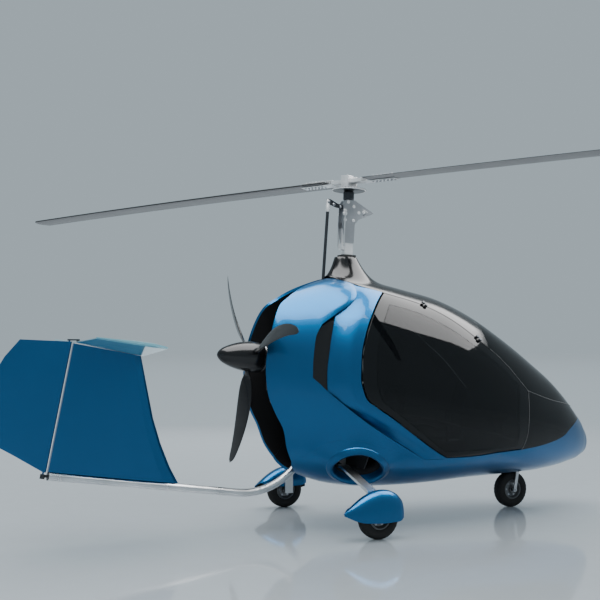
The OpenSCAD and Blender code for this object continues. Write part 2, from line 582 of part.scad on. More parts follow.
module rudder() {
    // Height at the hinge and at the trailing edge, trailing edge station
    levels = [[498, 690, -2500], [560, 722, -2560], [640, 760, -tail_length], [800, 880, -tail_length],
              [1000, 1020, -2568], [1180, 1170, -2530], [1310, 1300, -2452], [1404, 1418, -2350]];
    rings = [for (v = levels)
        let (hinge = hinge_line(v[0]), side = concat(
            [for (a = [0:30:60]) [hinge + rudder_nose * cos(a), rudder_nose * sin(a), v[0]]],
            [[hinge, rudder_nose, v[0]]],
            [for (t = [0.3, 0.65, 1]) [mix(hinge, v[2], t), mix(rudder_nose, 3, t), mix(v[0], v[1], t)]]))
        concat(side, [for (i = [len(side) - 1:-1:1]) [side[i][0], -side[i][1], side[i][2]]])];
    color(blue) {
        loft(reversed(rings));
        on_hinge(456) cylinder(r = pin_radius, h = 60, $fn = 48);
        on_hinge(1380) cylinder(r = pin_radius, h = 42, $fn = 48);
    }
}
pin_radius = 6;
hinge_rake = atan((hinge_top[0] - hinge_foot[0]) / (hinge_top[1] - hinge_foot[1]));
module on_hinge(z) {
    translate([hinge_line(z), 0, z]) rotate([0, hinge_rake, 0]) children();
}
module rudder_hinges() {
    color("#2b2e33") {
        difference() {
            union() {
                translate([boom_end_x - seam_gap, 0, boom_z(boom_end_x)]) rotate([0, boom_rise - 90, 0])
                    cylinder(d = boom_diameter, h = 8, $fn = 48);
                translate([hinge_line(470), -9, 462]) cube([boom_end_x - hinge_line(470) - 2, 18, 18]);
                on_hinge(454) cylinder(r = 17, h = 32, $fn = 48);
            }
            on_hinge(440) cylinder(r = pin_radius + fit_gap, h = 60, $fn = 48);
        }
        difference() {
            translate([hinge_line(1412) - 14, -9, 1411]) cube([84, 18, 10]);
            on_hinge(1400) cylinder(r = pin_radius + fit_gap, h = 40, $fn = 48);
        }
        translate([-1962, -9, 1400.4]) cube([18, 18, 10.6]);
    }
}

// Main landing gear: one bowed leg with both axles, and a fairing over each wheel
axle_z = tyre_diameter / 2;
wheel_y = wheel_track / 2;
pant_half = 85;
arm_y = wheel_y - pant_half - 0.5;
module main_leg() {
    t = leg_thickness;
    bow = [[0, leg_z - t / 2], [300, leg_z - t / 2 - 8], [arm_y - t, 318], [arm_y - t, axle_z - 22],
           [arm_y, axle_z - 22], [arm_y, 336], [300, leg_z + t / 2 - 8], [0, leg_z + t / 2]];
    color("#b4b7bb") {
        translate([leg_width / 2, 0, 0]) rotate([90, 0, -90]) linear_extrude(leg_width)
            polygon(concat(bow, [for (i = [len(bow) - 2:-1:1]) [-bow[i][0], bow[i][1]]]));
        for (side = [-1, 1]) translate([0, side * arm_y, axle_z]) rotate([-90 * side, 0, 0])
            cylinder(d = axle_diameter, h = wheel_y - arm_y + tyre_width / 2 + 4, $fn = 48);
    }
}
PANT_PLAN = [[-272, 6], [-240, 28], [-180, 55], [-110, 74], [-30, pant_half], [60, 83], [120, 76],
             [165, 62], [192, 40], [204, 12]];
PANT_TOP = [[-272, 196], [-240, 222], [-180, 268], [-110, 312], [-30, 343], [40, 350], [110, 334],
            [160, 300], [192, 250], [204, 200]];
PANT_FOOT = [[-272, 180], [-180, 140], [-60, 126], [80, 126], [170, 138], [204, 165]];
pant_wall = 5;
module wheel_pant(side) {
    function ring(x, inset) = [for (a = [0:15:180])
        let (foot = curve(PANT_FOOT, x) + (a > 90 ? 62 * min(1, (a - 90) / 60) : 0),
             half = max(2, curve(PANT_PLAN, x) - inset), top = curve(PANT_TOP, x) - inset)
        [x, wheel_y + half * sign(cos(a)) * abs(cos(a)) ^ 0.8,
         axle_z - 152.5 + mix(min(foot, top - 6), top, sin(a) ^ 0.8)]];
    stations = [-272, -240, -180, -110, -30, 60, 120, 165, 192, 204];
    outer = [for (x = stations) ring(x, 0)];
    inner = [for (x = [-262, -234, -178, -110, -30, 60, 119, 162, 187, 197]) ring(x, pant_wall)];
    color(blue) both_sides(side) shell(reversed(outer), reversed(inner));
}

// Wheels: a turned rim and a tyre on it
rim_width = 78;
module rim(bore, hub_half) {
    r = rim_diameter / 2;
    half = rim_width / 2;
    rotate([90, 0, 0]) rotate_extrude($fn = 96) polygon([
        [bore / 2 + fit_gap, -hub_half], [bore / 2 + 12, -hub_half], [bore / 2 + 16, -14], [r - 20, -10],
        [r - 14, -half], [r, -half], [r, half], [r - 14, half], [r - 20, 10], [bore / 2 + 16, 14],
        [bore / 2 + 12, hub_half], [bore / 2 + fit_gap, hub_half]]);
}
module tyre() {
    r = rim_diameter / 2 + seam_gap;
    R = tyre_diameter / 2;
    half = tyre_width / 2;
    shoulder = 26;
    rotate([90, 0, 0]) rotate_extrude($fn = 128) difference() {
        hull() {
            for (s = [-1, 1]) translate([R - shoulder - 4, s * (half - shoulder)]) circle(r = shoulder, $fn = 48);
            translate([R - 30, -half * 0.35]) square([30, half * 0.7]);
            translate([r - 6, -rim_width / 2 + 2]) square([10, rim_width - 4]);
        }
        translate([0, -half - 1]) square([r, 2 * half + 2]);
    }
}
hub_half = 40;
module main_rim(side) {
    color("#8f9398") translate([0, side * wheel_y, axle_z]) rim(axle_diameter, hub_half);
}
module main_tyre(side) {
    color("#1a1a1c") translate([0, side * wheel_y, axle_z]) tyre();
}

// Steered nose wheel
nose_axle = 20;
tow_bore = 10;
stem_radius = 15;
fork_half = 58;
fork_wall = 12;
crown_z = tyre_diameter + 14;
crown_height = 22;
head_low = crown_z + crown_height + 4;
module nose_fork() {
    trail = steering_x - wheel_base;
    lean = atan(trail / (crown_z + 10 - axle_z));
    color("#cfd2d5") difference() {
        union() {
            translate([steering_x - 26, -fork_half - fork_wall, crown_z]) cube([52, 2 * (fork_half + fork_wall), crown_height]);
            translate([steering_x, 0, crown_z + crown_height]) cylinder(r = stem_radius, h = 170, $fn = 48);
            for (side = [-1, 1]) translate([wheel_base, side * (fork_half + fork_wall / 2), axle_z]) {
                rotate([0, lean, 0]) translate([-14, -fork_wall / 2 + 0.5, 0])
                    cube([28, fork_wall - 1, (crown_z - axle_z) / cos(lean) + 4]);
                rotate([90, 0, 0]) cylinder(r = 18, h = fork_wall, center = true, $fn = 48);
            }
            translate([wheel_base, 0, axle_z]) rotate([90, 0, 0])
                cylinder(d = nose_axle, h = 2 * (fork_half + fork_wall) + 12, center = true, $fn = 48);
        }
        translate([wheel_base, 0, axle_z]) rotate([90, 0, 0])
            cylinder(d = tow_bore, h = 2 * (fork_half + fork_wall) + 40, center = true, $fn = 48);
    }
}
module nose_rim() {
    color("#8f9398") translate([wheel_base, 0, axle_z]) rim(nose_axle, hub_half + 6);
}
module nose_tyre() {
    color("#1a1a1c") translate([wheel_base, 0, axle_z]) tyre();
}

// Cabin: floor on the keel, bulkhead on the mast, seats, instrument panel and stick
floor_wall = 10;
floor_front = keel_front;
module cabin_floor() {
    stations = [270, 500, 800, 1100, 1400, 1600, 1740];
    drawn_floor = drawn_belly + (keel_top - belly_height) * drawn_height / cabin_height;
    side = [for (x = stations) [min(pod_x(x), floor_front), half_width_at(x, drawn_floor - 30) - 14]];
    color("#24272b") translate([0, 0, keel_top]) linear_extrude(floor_wall)
        polygon(concat(side, [for (p = reversed(side)) [p[0], -p[1]]]));
}
module bulkhead() {
    heights = [440, 560, 700, 850, 1000, 1150, 1300, 1450, 1600, 1720, 1800];
    side = [for (z = heights) [half_width_at(165, z) - skin_wall - 34, (pod_z(z) - keel_top) / cos(mast_lean)]];
    color("#2e3135") on_mast(0) translate([mast_side / 2, 0, 0]) rotate([90, 0, 90]) linear_extrude(10)
        polygon(concat(side, [for (p = reversed(side)) [-p[0], p[1]]]));
}
seat_width = 340;
seat_y = 204;
seat_x = 470;
module seat(side) {
    outline = [[60, 0], [540, 0], [560, 170], [540, 205], [500, 212], [150, 168], [95, 185], [-30, 700],
               [-60, 720], [-95, 705], [-98, 670], [10, 190], [40, 60]];
    color("#3a3c40") translate([seat_x, side * seat_y + seat_width / 2, keel_top + floor_wall])
        rotate([90, 0, 0]) linear_extrude(seat_width) polygon(outline);
}
module instrument_panel() {
    outline = [[0, 0], [90, 0], [70, 330], [150, 400], [130, 425], [20, 440], [-30, 400], [0, 300]];
    color("#1d1f22") translate([1440, 230, keel_top + floor_wall]) rotate([90, 0, 0])
        linear_extrude(460) polygon(outline);
}
module control_stick() {
    color("#303338") translate([1120, 0, keel_top + floor_wall]) {
        cylinder(r = 36, h = 30, $fn = 48);
        translate([0, 0, 30]) cylinder(r = 11, h = 300, $fn = 32);
        translate([0, 0, 330]) cylinder(r = 18, h = 110, $fn = 32);
    }
}

// Engine bay: the engine is a plain block with its exhaust stub, on rails fixed to the mast
prop_tilt = 3.8;
prop_x = -652;
prop_z = pod_z(1295);
engine_rear = -430;
engine_length = 390;
engine_width = 400;
engine_height = 350;
engine_low = pod_z(1030);
module engine() {
    color("#4a4d52") translate([engine_rear, -engine_width / 2, engine_low]) {
        cube([engine_length, engine_width, engine_height]);
        translate([60, 60, -60]) cylinder(r = 24, h = 60, $fn = 48);
        translate([60 + 24, 60, -60]) rotate([0, -90, 0]) cylinder(r = 24, h = 190, $fn = 48);
    }
}
module engine_mount() {
    front = engine_rear + engine_length;
    color("#8c9095") for (up = [60, 290]) for (side = [-1, 1])
        translate([front, side * 34 - 14, engine_low + up - 14])
            cube([mast_x(engine_low + up - 14) - mast_side / 2 - front - 0.4, 28, 28]);
}
module on_prop(back) {
    translate([prop_x, 0, prop_z]) rotate([0, -90 + prop_tilt, 0]) translate([0, 0, back]) children();
}
spinner_front = -100;
spinner_length = 363;
flange_radius = 62;
module gearbox() {
    run = prop_x - engine_rear;
    color("#a8abb0") difference() {
        on_prop(spinner_front - fit_gap - 160) {
            cylinder(r = 48, h = 130, $fn = 64);
            translate([0, 0, 130]) cylinder(r = flange_radius, h = 30, $fn = 64);
        }
        translate([engine_rear, -100, prop_z - 200]) cube([200, 200, 400]);
    }
}
blade_angles = [168, 48, -72];
root_radius = 23;
socket_depth = 60;
module spinner() {
    r = spinner_diameter / 2;
    profile = [[0, 0], [0.82, 0], [0.97, 0.05], [1, 0.16], [0.97, 0.33], [0.86, 0.55], [0.65, 0.76], [0.38, 0.92],
               [0.12, 0.99], [0, 1]];
    color("#17191c") difference() {
        on_prop(spinner_front) rotate_extrude($fn = 96)
            polygon([for (p = profile) [p[0] * r, p[1] * spinner_length]]);
        for (a = blade_angles) on_prop(0) rotate([0, 0, a]) rotate([0, 90, 0])
            translate([0, 0, socket_depth]) cylinder(r = root_radius + fit_gap + 0.2, h = 100, $fn = 48);
    }
}
// Scimitar blade: radius, chord, sweep behind the radial line, pitch
PROP_BLADE = [[60, 46, 0, 0], [115, 46, 0, 0], [150, 62, 2, -34], [230, 112, 10, -30], [340, 138, 20, -25],
              [480, 136, 16, -21], [620, 116, -6, -18], [740, 88, -40, -16], [830, 56, -78, -15], [869, 22, -100, -15]];
module prop_blade(turn) {
    n = 14;
    rings = [for (s = PROP_BLADE)
        [for (i = [0:n - 1])
            let (a = 360 * i / n, thick = s[3] == 0 ? 1 : max(0.09, 0.3 - s[0] / 2600),
                 along_chord = s[1] / 2 * cos(a), through = s[1] / 2 * thick * sin(a),
                 across_disc = along_chord * cos(s[3]) - through * sin(s[3]) + s[2],
                 along_shaft = along_chord * sin(s[3]) + through * cos(s[3]))
            [s[0] <= 150 ? s[0] : 150 + (s[0] - 150) * (prop_diameter / 2 - 150) / 719, across_disc, along_shaft]]];
    color("#17191c") on_prop(0) rotate([0, 0, turn]) loft(reversed(rings));
}

// Hinges on the roof line that carry the doors
hinge_lift = 16;
knuckle_radius = 6;
knuckle_length = 24;
HINGE_X = [710, 1150];
function hinge_at(x) = let (q = roof_edge(x)) skin_point(q) + hinge_lift * normal(q, false);
hinge_axis = unit(hinge_at(HINGE_X[1]) - hinge_at(HINGE_X[0]));
// Frame at a hinge: X along the axis, Y down the door, Z out of the skin
module at_hinge(x) {
    p = hinge_at(x);
    n = normal(roof_edge(x), false);
    out = unit(n - (n * hinge_axis) * hinge_axis);
    down = cross(out, hinge_axis);
    multmatrix([[hinge_axis[0], down[0], out[0], p[0]], [hinge_axis[1], down[1], out[1], p[1]],
                [hinge_axis[2], down[2], out[2], p[2]], [0, 0, 0, 1]]) children();
}
// Seat of each leaf over the skin: door leaves, then roof leaves
leaf_seat = [[0.5, -0.4], [0.2, 1.3]];
module hinge_leaf(x, start, toward) {
    foot = -hinge_lift + leaf_seat[toward > 0 ? 0 : 1][x == HINGE_X[0] ? 0 : 1];
    translate([start, 0, 0]) rotate([0, 90, 0]) cylinder(r = knuckle_radius, h = knuckle_length, $fn = 32);
    translate([start, toward > 0 ? 0 : -18, 1]) cube([knuckle_length, 18, 5]);
    translate([start, toward > 0 ? 12 : -18, foot]) cube([knuckle_length, 6, 2.6 - foot]);
}
module roof_hinges() {
    color("#b9bcc0") for (side = [-1, 1]) both_sides(side) for (x = HINGE_X)
        at_hinge(x) hinge_leaf(x, -knuckle_length - fit_gap, -1);
}
module door_hinges(side) {
    color("#b9bcc0") both_sides(side) for (x = HINGE_X)
        at_hinge(x) hinge_leaf(x, fit_gap, 1);
}

nose_cap();
lower_hull();
roof_strip();
windscreen();
nose_window();
rear_cowl(1);  // rear_cowl_left
rear_cowl(-1);  // rear_cowl_right
side_pillar(1);  // side_pillar_left
side_pillar(-1);  // side_pillar_right
door(1);  // door_left
door(-1);  // door_right
door_pane(1);  // door_pane_left
door_pane(-1);  // door_pane_right
door_hinges(1);  // door_hinges_left
door_hinges(-1);  // door_hinges_right
roof_hinges();
keel();
cabin_floor();
bulkhead();
for (side = [-1, 1]) seat(side);  // seats
instrument_panel();
control_stick();
mast();
mast_collar();
rotor_head();
bearing_housing();
control_strut();
rotor_tower();
hub_bar();
rotor_blade(0);  // rotor_blade_rear
rotor_blade(180);  // rotor_blade_front
tail_boom();
fin();
stabiliser();
rudder();
rudder_hinges();
main_leg();
for (side = [-1, 1]) wheel_pant(side);  // wheel_pants
main_rim(1);  // main_rim_left
main_rim(-1);  // main_rim_right
main_tyre(1);  // main_tyre_left
main_tyre(-1);  // main_tyre_right
nose_fork();
nose_rim();
nose_tyre();
engine();
engine_mount();
gearbox();
spinner();
for (a = blade_angles) prop_blade(a);  // prop_blades
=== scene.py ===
"""Enclosed two-seat gyrocopter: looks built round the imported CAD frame."""
import json
import math

import bmesh
import bpy
import numpy as np
from mathutils import Matrix, Vector


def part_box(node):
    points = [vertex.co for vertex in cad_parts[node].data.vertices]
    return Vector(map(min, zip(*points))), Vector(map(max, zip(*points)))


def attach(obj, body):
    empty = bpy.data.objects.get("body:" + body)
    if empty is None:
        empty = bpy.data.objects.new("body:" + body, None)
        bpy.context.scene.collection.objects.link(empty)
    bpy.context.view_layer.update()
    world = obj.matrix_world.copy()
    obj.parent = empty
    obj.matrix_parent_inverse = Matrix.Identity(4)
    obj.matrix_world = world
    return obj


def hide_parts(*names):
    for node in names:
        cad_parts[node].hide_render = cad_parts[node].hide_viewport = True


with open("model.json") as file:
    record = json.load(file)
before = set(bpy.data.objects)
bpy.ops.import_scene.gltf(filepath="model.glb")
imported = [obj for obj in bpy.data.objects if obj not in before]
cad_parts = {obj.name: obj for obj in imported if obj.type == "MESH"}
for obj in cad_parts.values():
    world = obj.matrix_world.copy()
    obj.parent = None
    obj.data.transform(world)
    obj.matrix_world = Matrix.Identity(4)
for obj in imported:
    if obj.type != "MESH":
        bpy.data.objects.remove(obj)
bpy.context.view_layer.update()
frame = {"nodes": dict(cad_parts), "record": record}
NODES = frame["nodes"]

# ---------------------------------------------------------------- camera
SENSOR = 36.0
CAMERA_YAW = math.radians(25.15)
camera_data = bpy.data.cameras.new("camera")
camera_data.sensor_width = SENSOR
camera_data.lens = 59.717
camera_data.shift_y = 0.0851
camera_data.clip_end = 900
camera = bpy.data.objects.new("camera", camera_data)
camera.location = (-3.5105, -6.9854, 1.3374)
camera.rotation_euler = (math.pi / 2, 0, -CAMERA_YAW)
bpy.context.scene.collection.objects.link(camera)
bpy.context.scene.camera = camera


# ---------------------------------------------------------------- materials
FLAKE_SCALE = 2600
COAT_ROUGHNESS = 0.02
REFRACTION = 1.45
BROAD_SCALE = 6
NOISE_DETAIL = 3
BUMP_STRENGTH = 0.35
GLASS_ALPHA = 0.82


def shader(m):
    return m.node_tree.nodes["Principled BSDF"]


def material(name, color, rough, metallic, coat=0.0, specular=0.5):
    """A Principled material; constants go straight on the shader's sockets."""
    m = bpy.data.materials.new(name)
    m.use_nodes = True
    for socket, value in (("Base Color", (*color, 1)), ("Roughness", rough), ("Metallic", metallic),
                          ("Coat Weight", coat), ("Coat Roughness", COAT_ROUGHNESS),
                          ("Specular IOR Level", specular), ("IOR", REFRACTION)):
        shader(m).inputs[socket].default_value = value
    return m


def add(m, kind):
    return m.node_tree.nodes.new(kind)


def link(m, a, out, b, into):
    m.node_tree.links.new(a.outputs[out], b.inputs[into])


def coords(m, stretch=(1, 1, 1)):
    t = add(m, "ShaderNodeTexCoord")
    s = add(m, "ShaderNodeMapping")
    s.inputs["Scale"].default_value = stretch
    link(m, t, "Object", s, "Vector")
    return s


def noise(m, where, scale):
    n = add(m, "ShaderNodeTexNoise")
    n.inputs["Scale"].default_value = scale
    n.inputs["Detail"].default_value = NOISE_DETAIL
    link(m, where, "Vector", n, "Vector")
    return n


def tint(m, source, out, stops):
    """Colour from a ramp with two stops."""
    r = add(m, "ShaderNodeValToRGB")
    for e, (at, color) in zip(r.color_ramp.elements, stops):
        e.position = at
        e.color = (*color, 1)
    link(m, source, out, r, "Fac")
    link(m, r, "Color", shader(m), "Base Color")


def spread(m, source, low, high):
    """Roughness that varies between two values."""
    r = add(m, "ShaderNodeMapRange")
    r.inputs["To Min"].default_value = low
    r.inputs["To Max"].default_value = high
    link(m, source, "Fac", r, "Value")
    link(m, r, "Result", shader(m), "Roughness")


def bump(m, source, distance):
    b = add(m, "ShaderNodeBump")
    b.inputs["Strength"].default_value = BUMP_STRENGTH
    b.inputs["Distance"].default_value = distance
    link(m, source, "Fac", b, "Height")
    link(m, b, "Normal", shader(m), "Normal")


def paint(name, deep, bright, metallic, rough, coat=1.0):
    """Metallic paint: fine flakes between two shades under a clear coat."""
    m = material(name, bright, rough, metallic, coat)
    at = coords(m)
    cells = add(m, "ShaderNodeTexVoronoi")
    cells.inputs["Scale"].default_value = FLAKE_SCALE
    link(m, at, "Vector", cells, "Vector")
    tint(m, cells, "Color", [(0.0, deep), (1.0, bright)])
    spread(m, noise(m, at, BROAD_SCALE / 2), rough - 0.05, rough + 0.05)
    return m


def plain(name, color, rough, metallic=0.0, grain=500, depth=0.0001, spread_by=0.08, vary=0.12,
          stretch=(1, 1, 1), specular=0.5):
    """A surface with fine grain, slightly uneven gloss and colour."""
    m = material(name, color, rough, metallic, specular=specular)
    at = coords(m, stretch)
    fine, broad = noise(m, at, grain), noise(m, at, BROAD_SCALE)
    dull, bright = (tuple(min(1, c * share) for c in color) for share in (1 - vary, 1 + vary))
    tint(m, broad, "Fac", [(0.3, dull), (0.7, bright)])
    spread(m, broad, max(0.02, rough - spread_by), min(1, rough + spread_by))
    bump(m, fine, depth)
    return m


POLISHED = {"grain": 900, "depth": 0.00001, "spread_by": 0.02, "specular": 0.35}
BLUE = paint("blue_paint", (0.0, 0.042, 0.14), (0.0, 0.15, 0.36), 0.85, 0.32, 0.4)
# Pale blue on the stabiliser's top: the blue paint lightened to a painted reflection of the overhead light
PAINTED_REFLECTION_BLUE = paint("pale_blue_paint", (0.20, 0.52, 0.62), (0.30, 0.68, 0.78), 0.2, 0.3)
BLACK_GLOSS = plain("black_gloss", (0.004, 0.004, 0.005), 0.16, grain=900, depth=0.00002, spread_by=0.03,
                    specular=0.6)
TINTED = plain("tinted_glass", (0.003, 0.004, 0.005), 0.04, **POLISHED)
shader(TINTED).inputs["Alpha"].default_value = GLASS_ALPHA
DOOR_BLACK = plain("door_black", (0.003, 0.004, 0.005), 0.04, **POLISHED)
DARK = plain("dark_trim", (0.012, 0.012, 0.014), 0.55, grain=900, depth=0.0003)
LINING = plain("dark_lining", (0.010, 0.010, 0.012), 0.8, grain=300, depth=0.0004)
BARE = plain("bare_metal", (0.66, 0.67, 0.68), 0.3, 1.0, grain=900, depth=0.00008, stretch=(1, 1, 0.08))
DARK_METAL = plain("dark_metal", (0.05, 0.055, 0.062), 0.35, 0.8, grain=700)
STEEL = plain("frame_steel", (0.45, 0.46, 0.48), 0.33, 1.0, grain=700)
BLADE = plain("blade_metal", (0.13, 0.125, 0.13), 0.32, 0.7)
BLADE_EDGE = plain("blade_edge", (0.02, 0.02, 0.022), 0.4, 0.3)
WHITE_METAL = plain("white_metal", (0.86, 0.86, 0.86), 0.4, 0.2, grain=600)
CAST = plain("engine_metal", (0.20, 0.21, 0.22), 0.55, 0.7, grain=260, depth=0.0006)
CARBON = plain("prop_black", (0.006, 0.006, 0.007), 0.2, grain=900, depth=0.00003, spread_by=0.03)
WHEEL = plain("wheel_metal", (0.14, 0.145, 0.15), 0.36, 0.8)
TYRE = plain("tyre_rubber", (0.013, 0.013, 0.013), 0.75, depth=0.0004, specular=0.35)
RUBBER = plain("rubber", (0.015, 0.015, 0.016), 0.65, depth=0.0003)
SEAL = plain("pale_seal", (0.16, 0.16, 0.16), 0.5)
SEAT = plain("seat_cover", (0.035, 0.037, 0.04), 0.9, grain=1200, depth=0.0008)
SLOTS = {"blue_paint": BLUE, "pale_blue_paint": PAINTED_REFLECTION_BLUE, "black_gloss": BLACK_GLOSS,
         "tinted_glass": TINTED, "dark_trim": DARK, "seat_cover": SEAT, "bare_metal": BARE,
         "dark_metal": DARK_METAL, "frame_steel": STEEL, "blade_metal": BLADE, "white_metal": WHITE_METAL,
         "engine_metal": CAST, "prop_black": CARBON, "wheel_metal": WHEEL, "tyre_rubber": TYRE,
         "rubber": RUBBER}
for row in frame["record"]["subparts"]:
    node = NODES[row["node"]]
    node.data.materials.clear()
    node.data.materials.append(SLOTS[row["material_slot"]])
for name, look in (("main_leg", BARE), ("door_hinges_left", DARK_METAL), ("door_hinges_right", DARK_METAL),
                   ("roof_hinges", DARK_METAL)):
    NODES[name].data.materials[0] = look


# ---------------------------------------------------------------- the pod's surface
# Stations are in millimetres, and angles in degrees from the top.
TOP = [[-640, 1560], [-520, 1735], [-380, 1790], [-200, 1855], [0, 1912], [200, 1915], [400, 1887],
       [668, 1834], [955, 1768], [1252, 1648], [1557, 1474], [1872, 1269], [2142, 1075], [2386, 841],
       [2498, 714], [2560, 600], [2580, 535]]
BELLY = [[-640, 430], [-400, 425], [-310, 400], [-60, 318], [160, 280], [480, 268], [860, 275],
         [1152, 290], [1557, 300], [1979, 315], [2308, 362], [2480, 410], [2560, 470], [2580, 520]]
HALF_WIDTH = [[-640, 205], [-580, 250], [-400, 335], [-200, 425], [0, 500], [300, 560], [600, 580],
              [1000, 570], [1300, 535], [1600, 475], [1900, 385], [2200, 270], [2400, 170],
              [2500, 105], [2560, 52], [2580, 10]]
WAIST = [[-640, 1150], [-200, 1080], [200, 1010], [600, 930], [1000, 850], [1500, 765],
         [2000, 665], [2400, 575], [2580, 530]]
FULLNESS = [[-640, 2], [-200, 2.2], [400, 2.5], [1500, 2.4], [2580, 2.1]]
NOSE_X = 2580
PYLON = (168, 2080, 94, 62)  # station, top, half length and half width
ROOF_EDGE = [[0, 5.5], [40, 13], [90, 18], [160, 22.5], [360, 27], [710, 30.5], [940, 37.5],
             [1150, 45.5], [1400, 54.5], [1620, 67]]
COWL_TOP_X = [0, 15, 30, 45, 60, 80, 100, 120, 139]
PILLAR_TOP_X = [139, 177, 215, 262, 310, 360]
DOOR_TOP_X = [360, 450, 580, 710, 855, 1000, 1150, 1250, 1400, 1530, 1620]
SEAM = [[-384, 151], [-300, 139], [-170, 123], [-50, 117.5], [70, 116], [190, 117], [320, 119.5],
        [460, 122.5], [600, 125]]
PILLAR_FOOT = [[600, 125], [640, 124.7], [680, 124.3], [715, 124], [750, 123.5], [790, 123]]
SILL_X = [790, 860, 940, 1020, 1100, 1180, 1260, 1340, 1410, 1470, 1540]
SILL = [[790, 123], [1100, 121], [1300, 118], [1540, 114.5]]
REAR_EDGE = [[-384, 151], [-443, 137], [-495, 120], [-545, 112], [-600, 100], [-613, 90], [-610, 75],
             [-582, 58], [-524, 41], [-452, 27], [-385, 20], [-195, 7.5], [-90, 6], [0, 5.5]]
CREASE = [[600, 125], [460, 118.3], [320, 112.6], [170, 107.8], [20, 104], [-110, 101.5]]
COWL_LIP = [[-200, 100.3], [-287, 98], [-302, 83], [-285, 70], [-255, 60], [-205, 53.5]]
PILLAR_LIP = [[-196, 99.8], [-204, 90], [-197, 78.5], [-176, 70], [-150, 61], [-125, 54.5]]
DOOR_REAR = [[790, 123], [440, 105.5], [270, 98.8], [160, 95.5], [70, 92], [38, 86], [40, 79.5],
             [60, 69.5], [100, 61], [210, 45], [360, 27]]
DOOR_FRONT = [[1540, 114.5], [1580, 100], [1602, 84], [1620, 67]]
WINDSCREEN_FOOT = [[1620, 67], [1740, 66], [1860, 64.3], [1980, 61.5], [2090, 57], [2180, 51],
                   [2250, 44], [2305, 36], [2345, 26], [2370, 14], [2380, 0]]
BLUE_LINE = [[1540, 114.5], [1600, 113.2], [1760, 109], [1930, 102.5], [2000, 99], [2090, 93],
             [2190, 83], [2280, 72], [2360, 57], [2430, 36], [2470, 0]]
DOOR_ROWS = [0, 0.08, 0.26, 0.38, 0.47, 0.567, 0.607, 0.69, 0.8, 0.91, 1]
DOOR_COLS = [0, 0.07, 0.17, 0.28, 0.4, 0.51, 0.63, 0.71, 0.83, 0.93, 1]
PILLAR_ROWS = [0, 0.13, 0.26, 0.38, 0.43, 0.47, 0.52, 0.567, 0.607, 0.65, 0.69, 0.75, 0.8, 0.86, 0.91, 1]
FIRST_NOSE_POINT = 4
DEGREE = 9  # millimetres a degree counts for along a line
SIDES = (("left", 1), ("right", -1))
SKIN = 0.020
GLASS = 0.006
DOOR_WALL = 0.030


def curve(table, x):
    """Smooth curve through a table of (position, value)."""
    t = np.array(table, float)
    xs, ys = t[:, 0], t[:, 1]
    step = np.diff(xs)
    s = np.diff(ys) / step
    m = np.empty(len(xs))
    m[0], m[-1] = s[0], s[-1]
    m[1:-1] = (s[:-1] * step[1:] + s[1:] * step[:-1]) / (step[1:] + step[:-1])
    x = np.asarray(x, float)
    i = np.clip(np.searchsorted(xs, x, side="right") - 1, 0, len(xs) - 2)
    h = step[i]
    u = (x - xs[i]) / h
    return ((2 * u**3 - 3 * u**2 + 1) * ys[i] + (u**3 - 2 * u**2 + u) * h * m[i]
            + (3 * u**2 - 2 * u**3) * ys[i + 1] + (u**3 - u**2) * h * m[i + 1])


def skin(q):
    """Points of the outer skin, in metres, at [station, angle] places."""
    q = np.asarray(q, float)
    x, a = q[..., 0], np.radians(q[..., 1])
    c, s = np.cos(a), np.sin(a)
    waist = curve(WAIST, x)
    n = np.where(c < 0, curve(FULLNESS, x), 2.0)
    edge = np.where(c < 0, curve(BELLY, x), curve(TOP, x))
    y = curve(HALF_WIDTH, x) * np.sign(s) * np.abs(s) ** (2 / n)
    z = waist + (edge - waist) * np.abs(c) ** (2 / n)
    return np.stack([x, y, z], -1) / 1000


def roof(q):
    """The skin with the mast pylon moulded in."""
    p = skin(q)
    px, top, half_length, half_width = PYLON
    dx, dy = p[..., 0] * 1000 - px, p[..., 1] * 1000
    r = np.hypot(dx / half_length, dy / half_width)
    reach = 3.2 + 0.7 * dx / np.maximum(1, np.hypot(dx, dy))
    rise = np.where(r <= 1, 1, np.maximum(0, 1 - (r - 1) / (reach - 1)) ** 3)
    p[..., 2] += (top / 1000 - p[..., 2]) * rise
    return p


def unit(v):
    return v / np.maximum(np.linalg.norm(v, axis=-1, keepdims=True), 1e-12)


def normal(q, surface=skin):
    q = np.asarray(q, float)
    dx, da = np.array([4.0, 0]), np.array([0, 0.5])
    return unit(np.cross(surface(q + dx) - surface(q - dx), surface(q + da) - surface(q - da)))


def between(places, per):
    """Each gap in a list of numbers cut in per equal parts."""
    p = np.array(places, float)
    return np.interp(np.arange((len(p) - 1) * per + 1) / per, np.arange(len(p)), p)


def lengths(points):
    p = np.array(points, float)
    d = np.diff(p, axis=0)
    return np.concatenate([[0], np.cumsum(np.hypot(d[:, 0], DEGREE * d[:, 1]))])


def along(points, places):
    p = np.array(points, float)
    r = lengths(points)
    at = np.asarray(places) * r[-1]
    return np.stack([curve(np.stack([r, p[:, k]], 1), at) for k in (0, 1)], -1)


def smooth(points, per):
    """A smooth line through the points, with per steps from each to the next."""
    r = lengths(points)
    return along(points, between(r / r[-1], per))


def roof_edge(xs):
    return np.stack([xs, curve(ROOF_EDGE, xs)], -1)


def sill(xs):
    return np.stack([xs, curve(SILL, xs)], -1)


def patch(bottom, top, left, right, rows, cols):
    s, t = np.asarray(rows)[:, None, None], np.asarray(cols)[None, :, None]
    b, u, l, r = bottom[None], top[None], left[:, None], right[:, None]
    return ((1 - t) * l + t * r + (1 - s) * b + s * u
            - (1 - s) * ((1 - t) * b[:, :1] + t * b[:, -1:]) - s * ((1 - t) * u[:, :1] + t * u[:, -1:]))


def mirrored(q):
    return q * np.array([1, -1])


def eased(x):
    x = np.clip(x, 0, 1)
    return x * x * (3 - 2 * x)


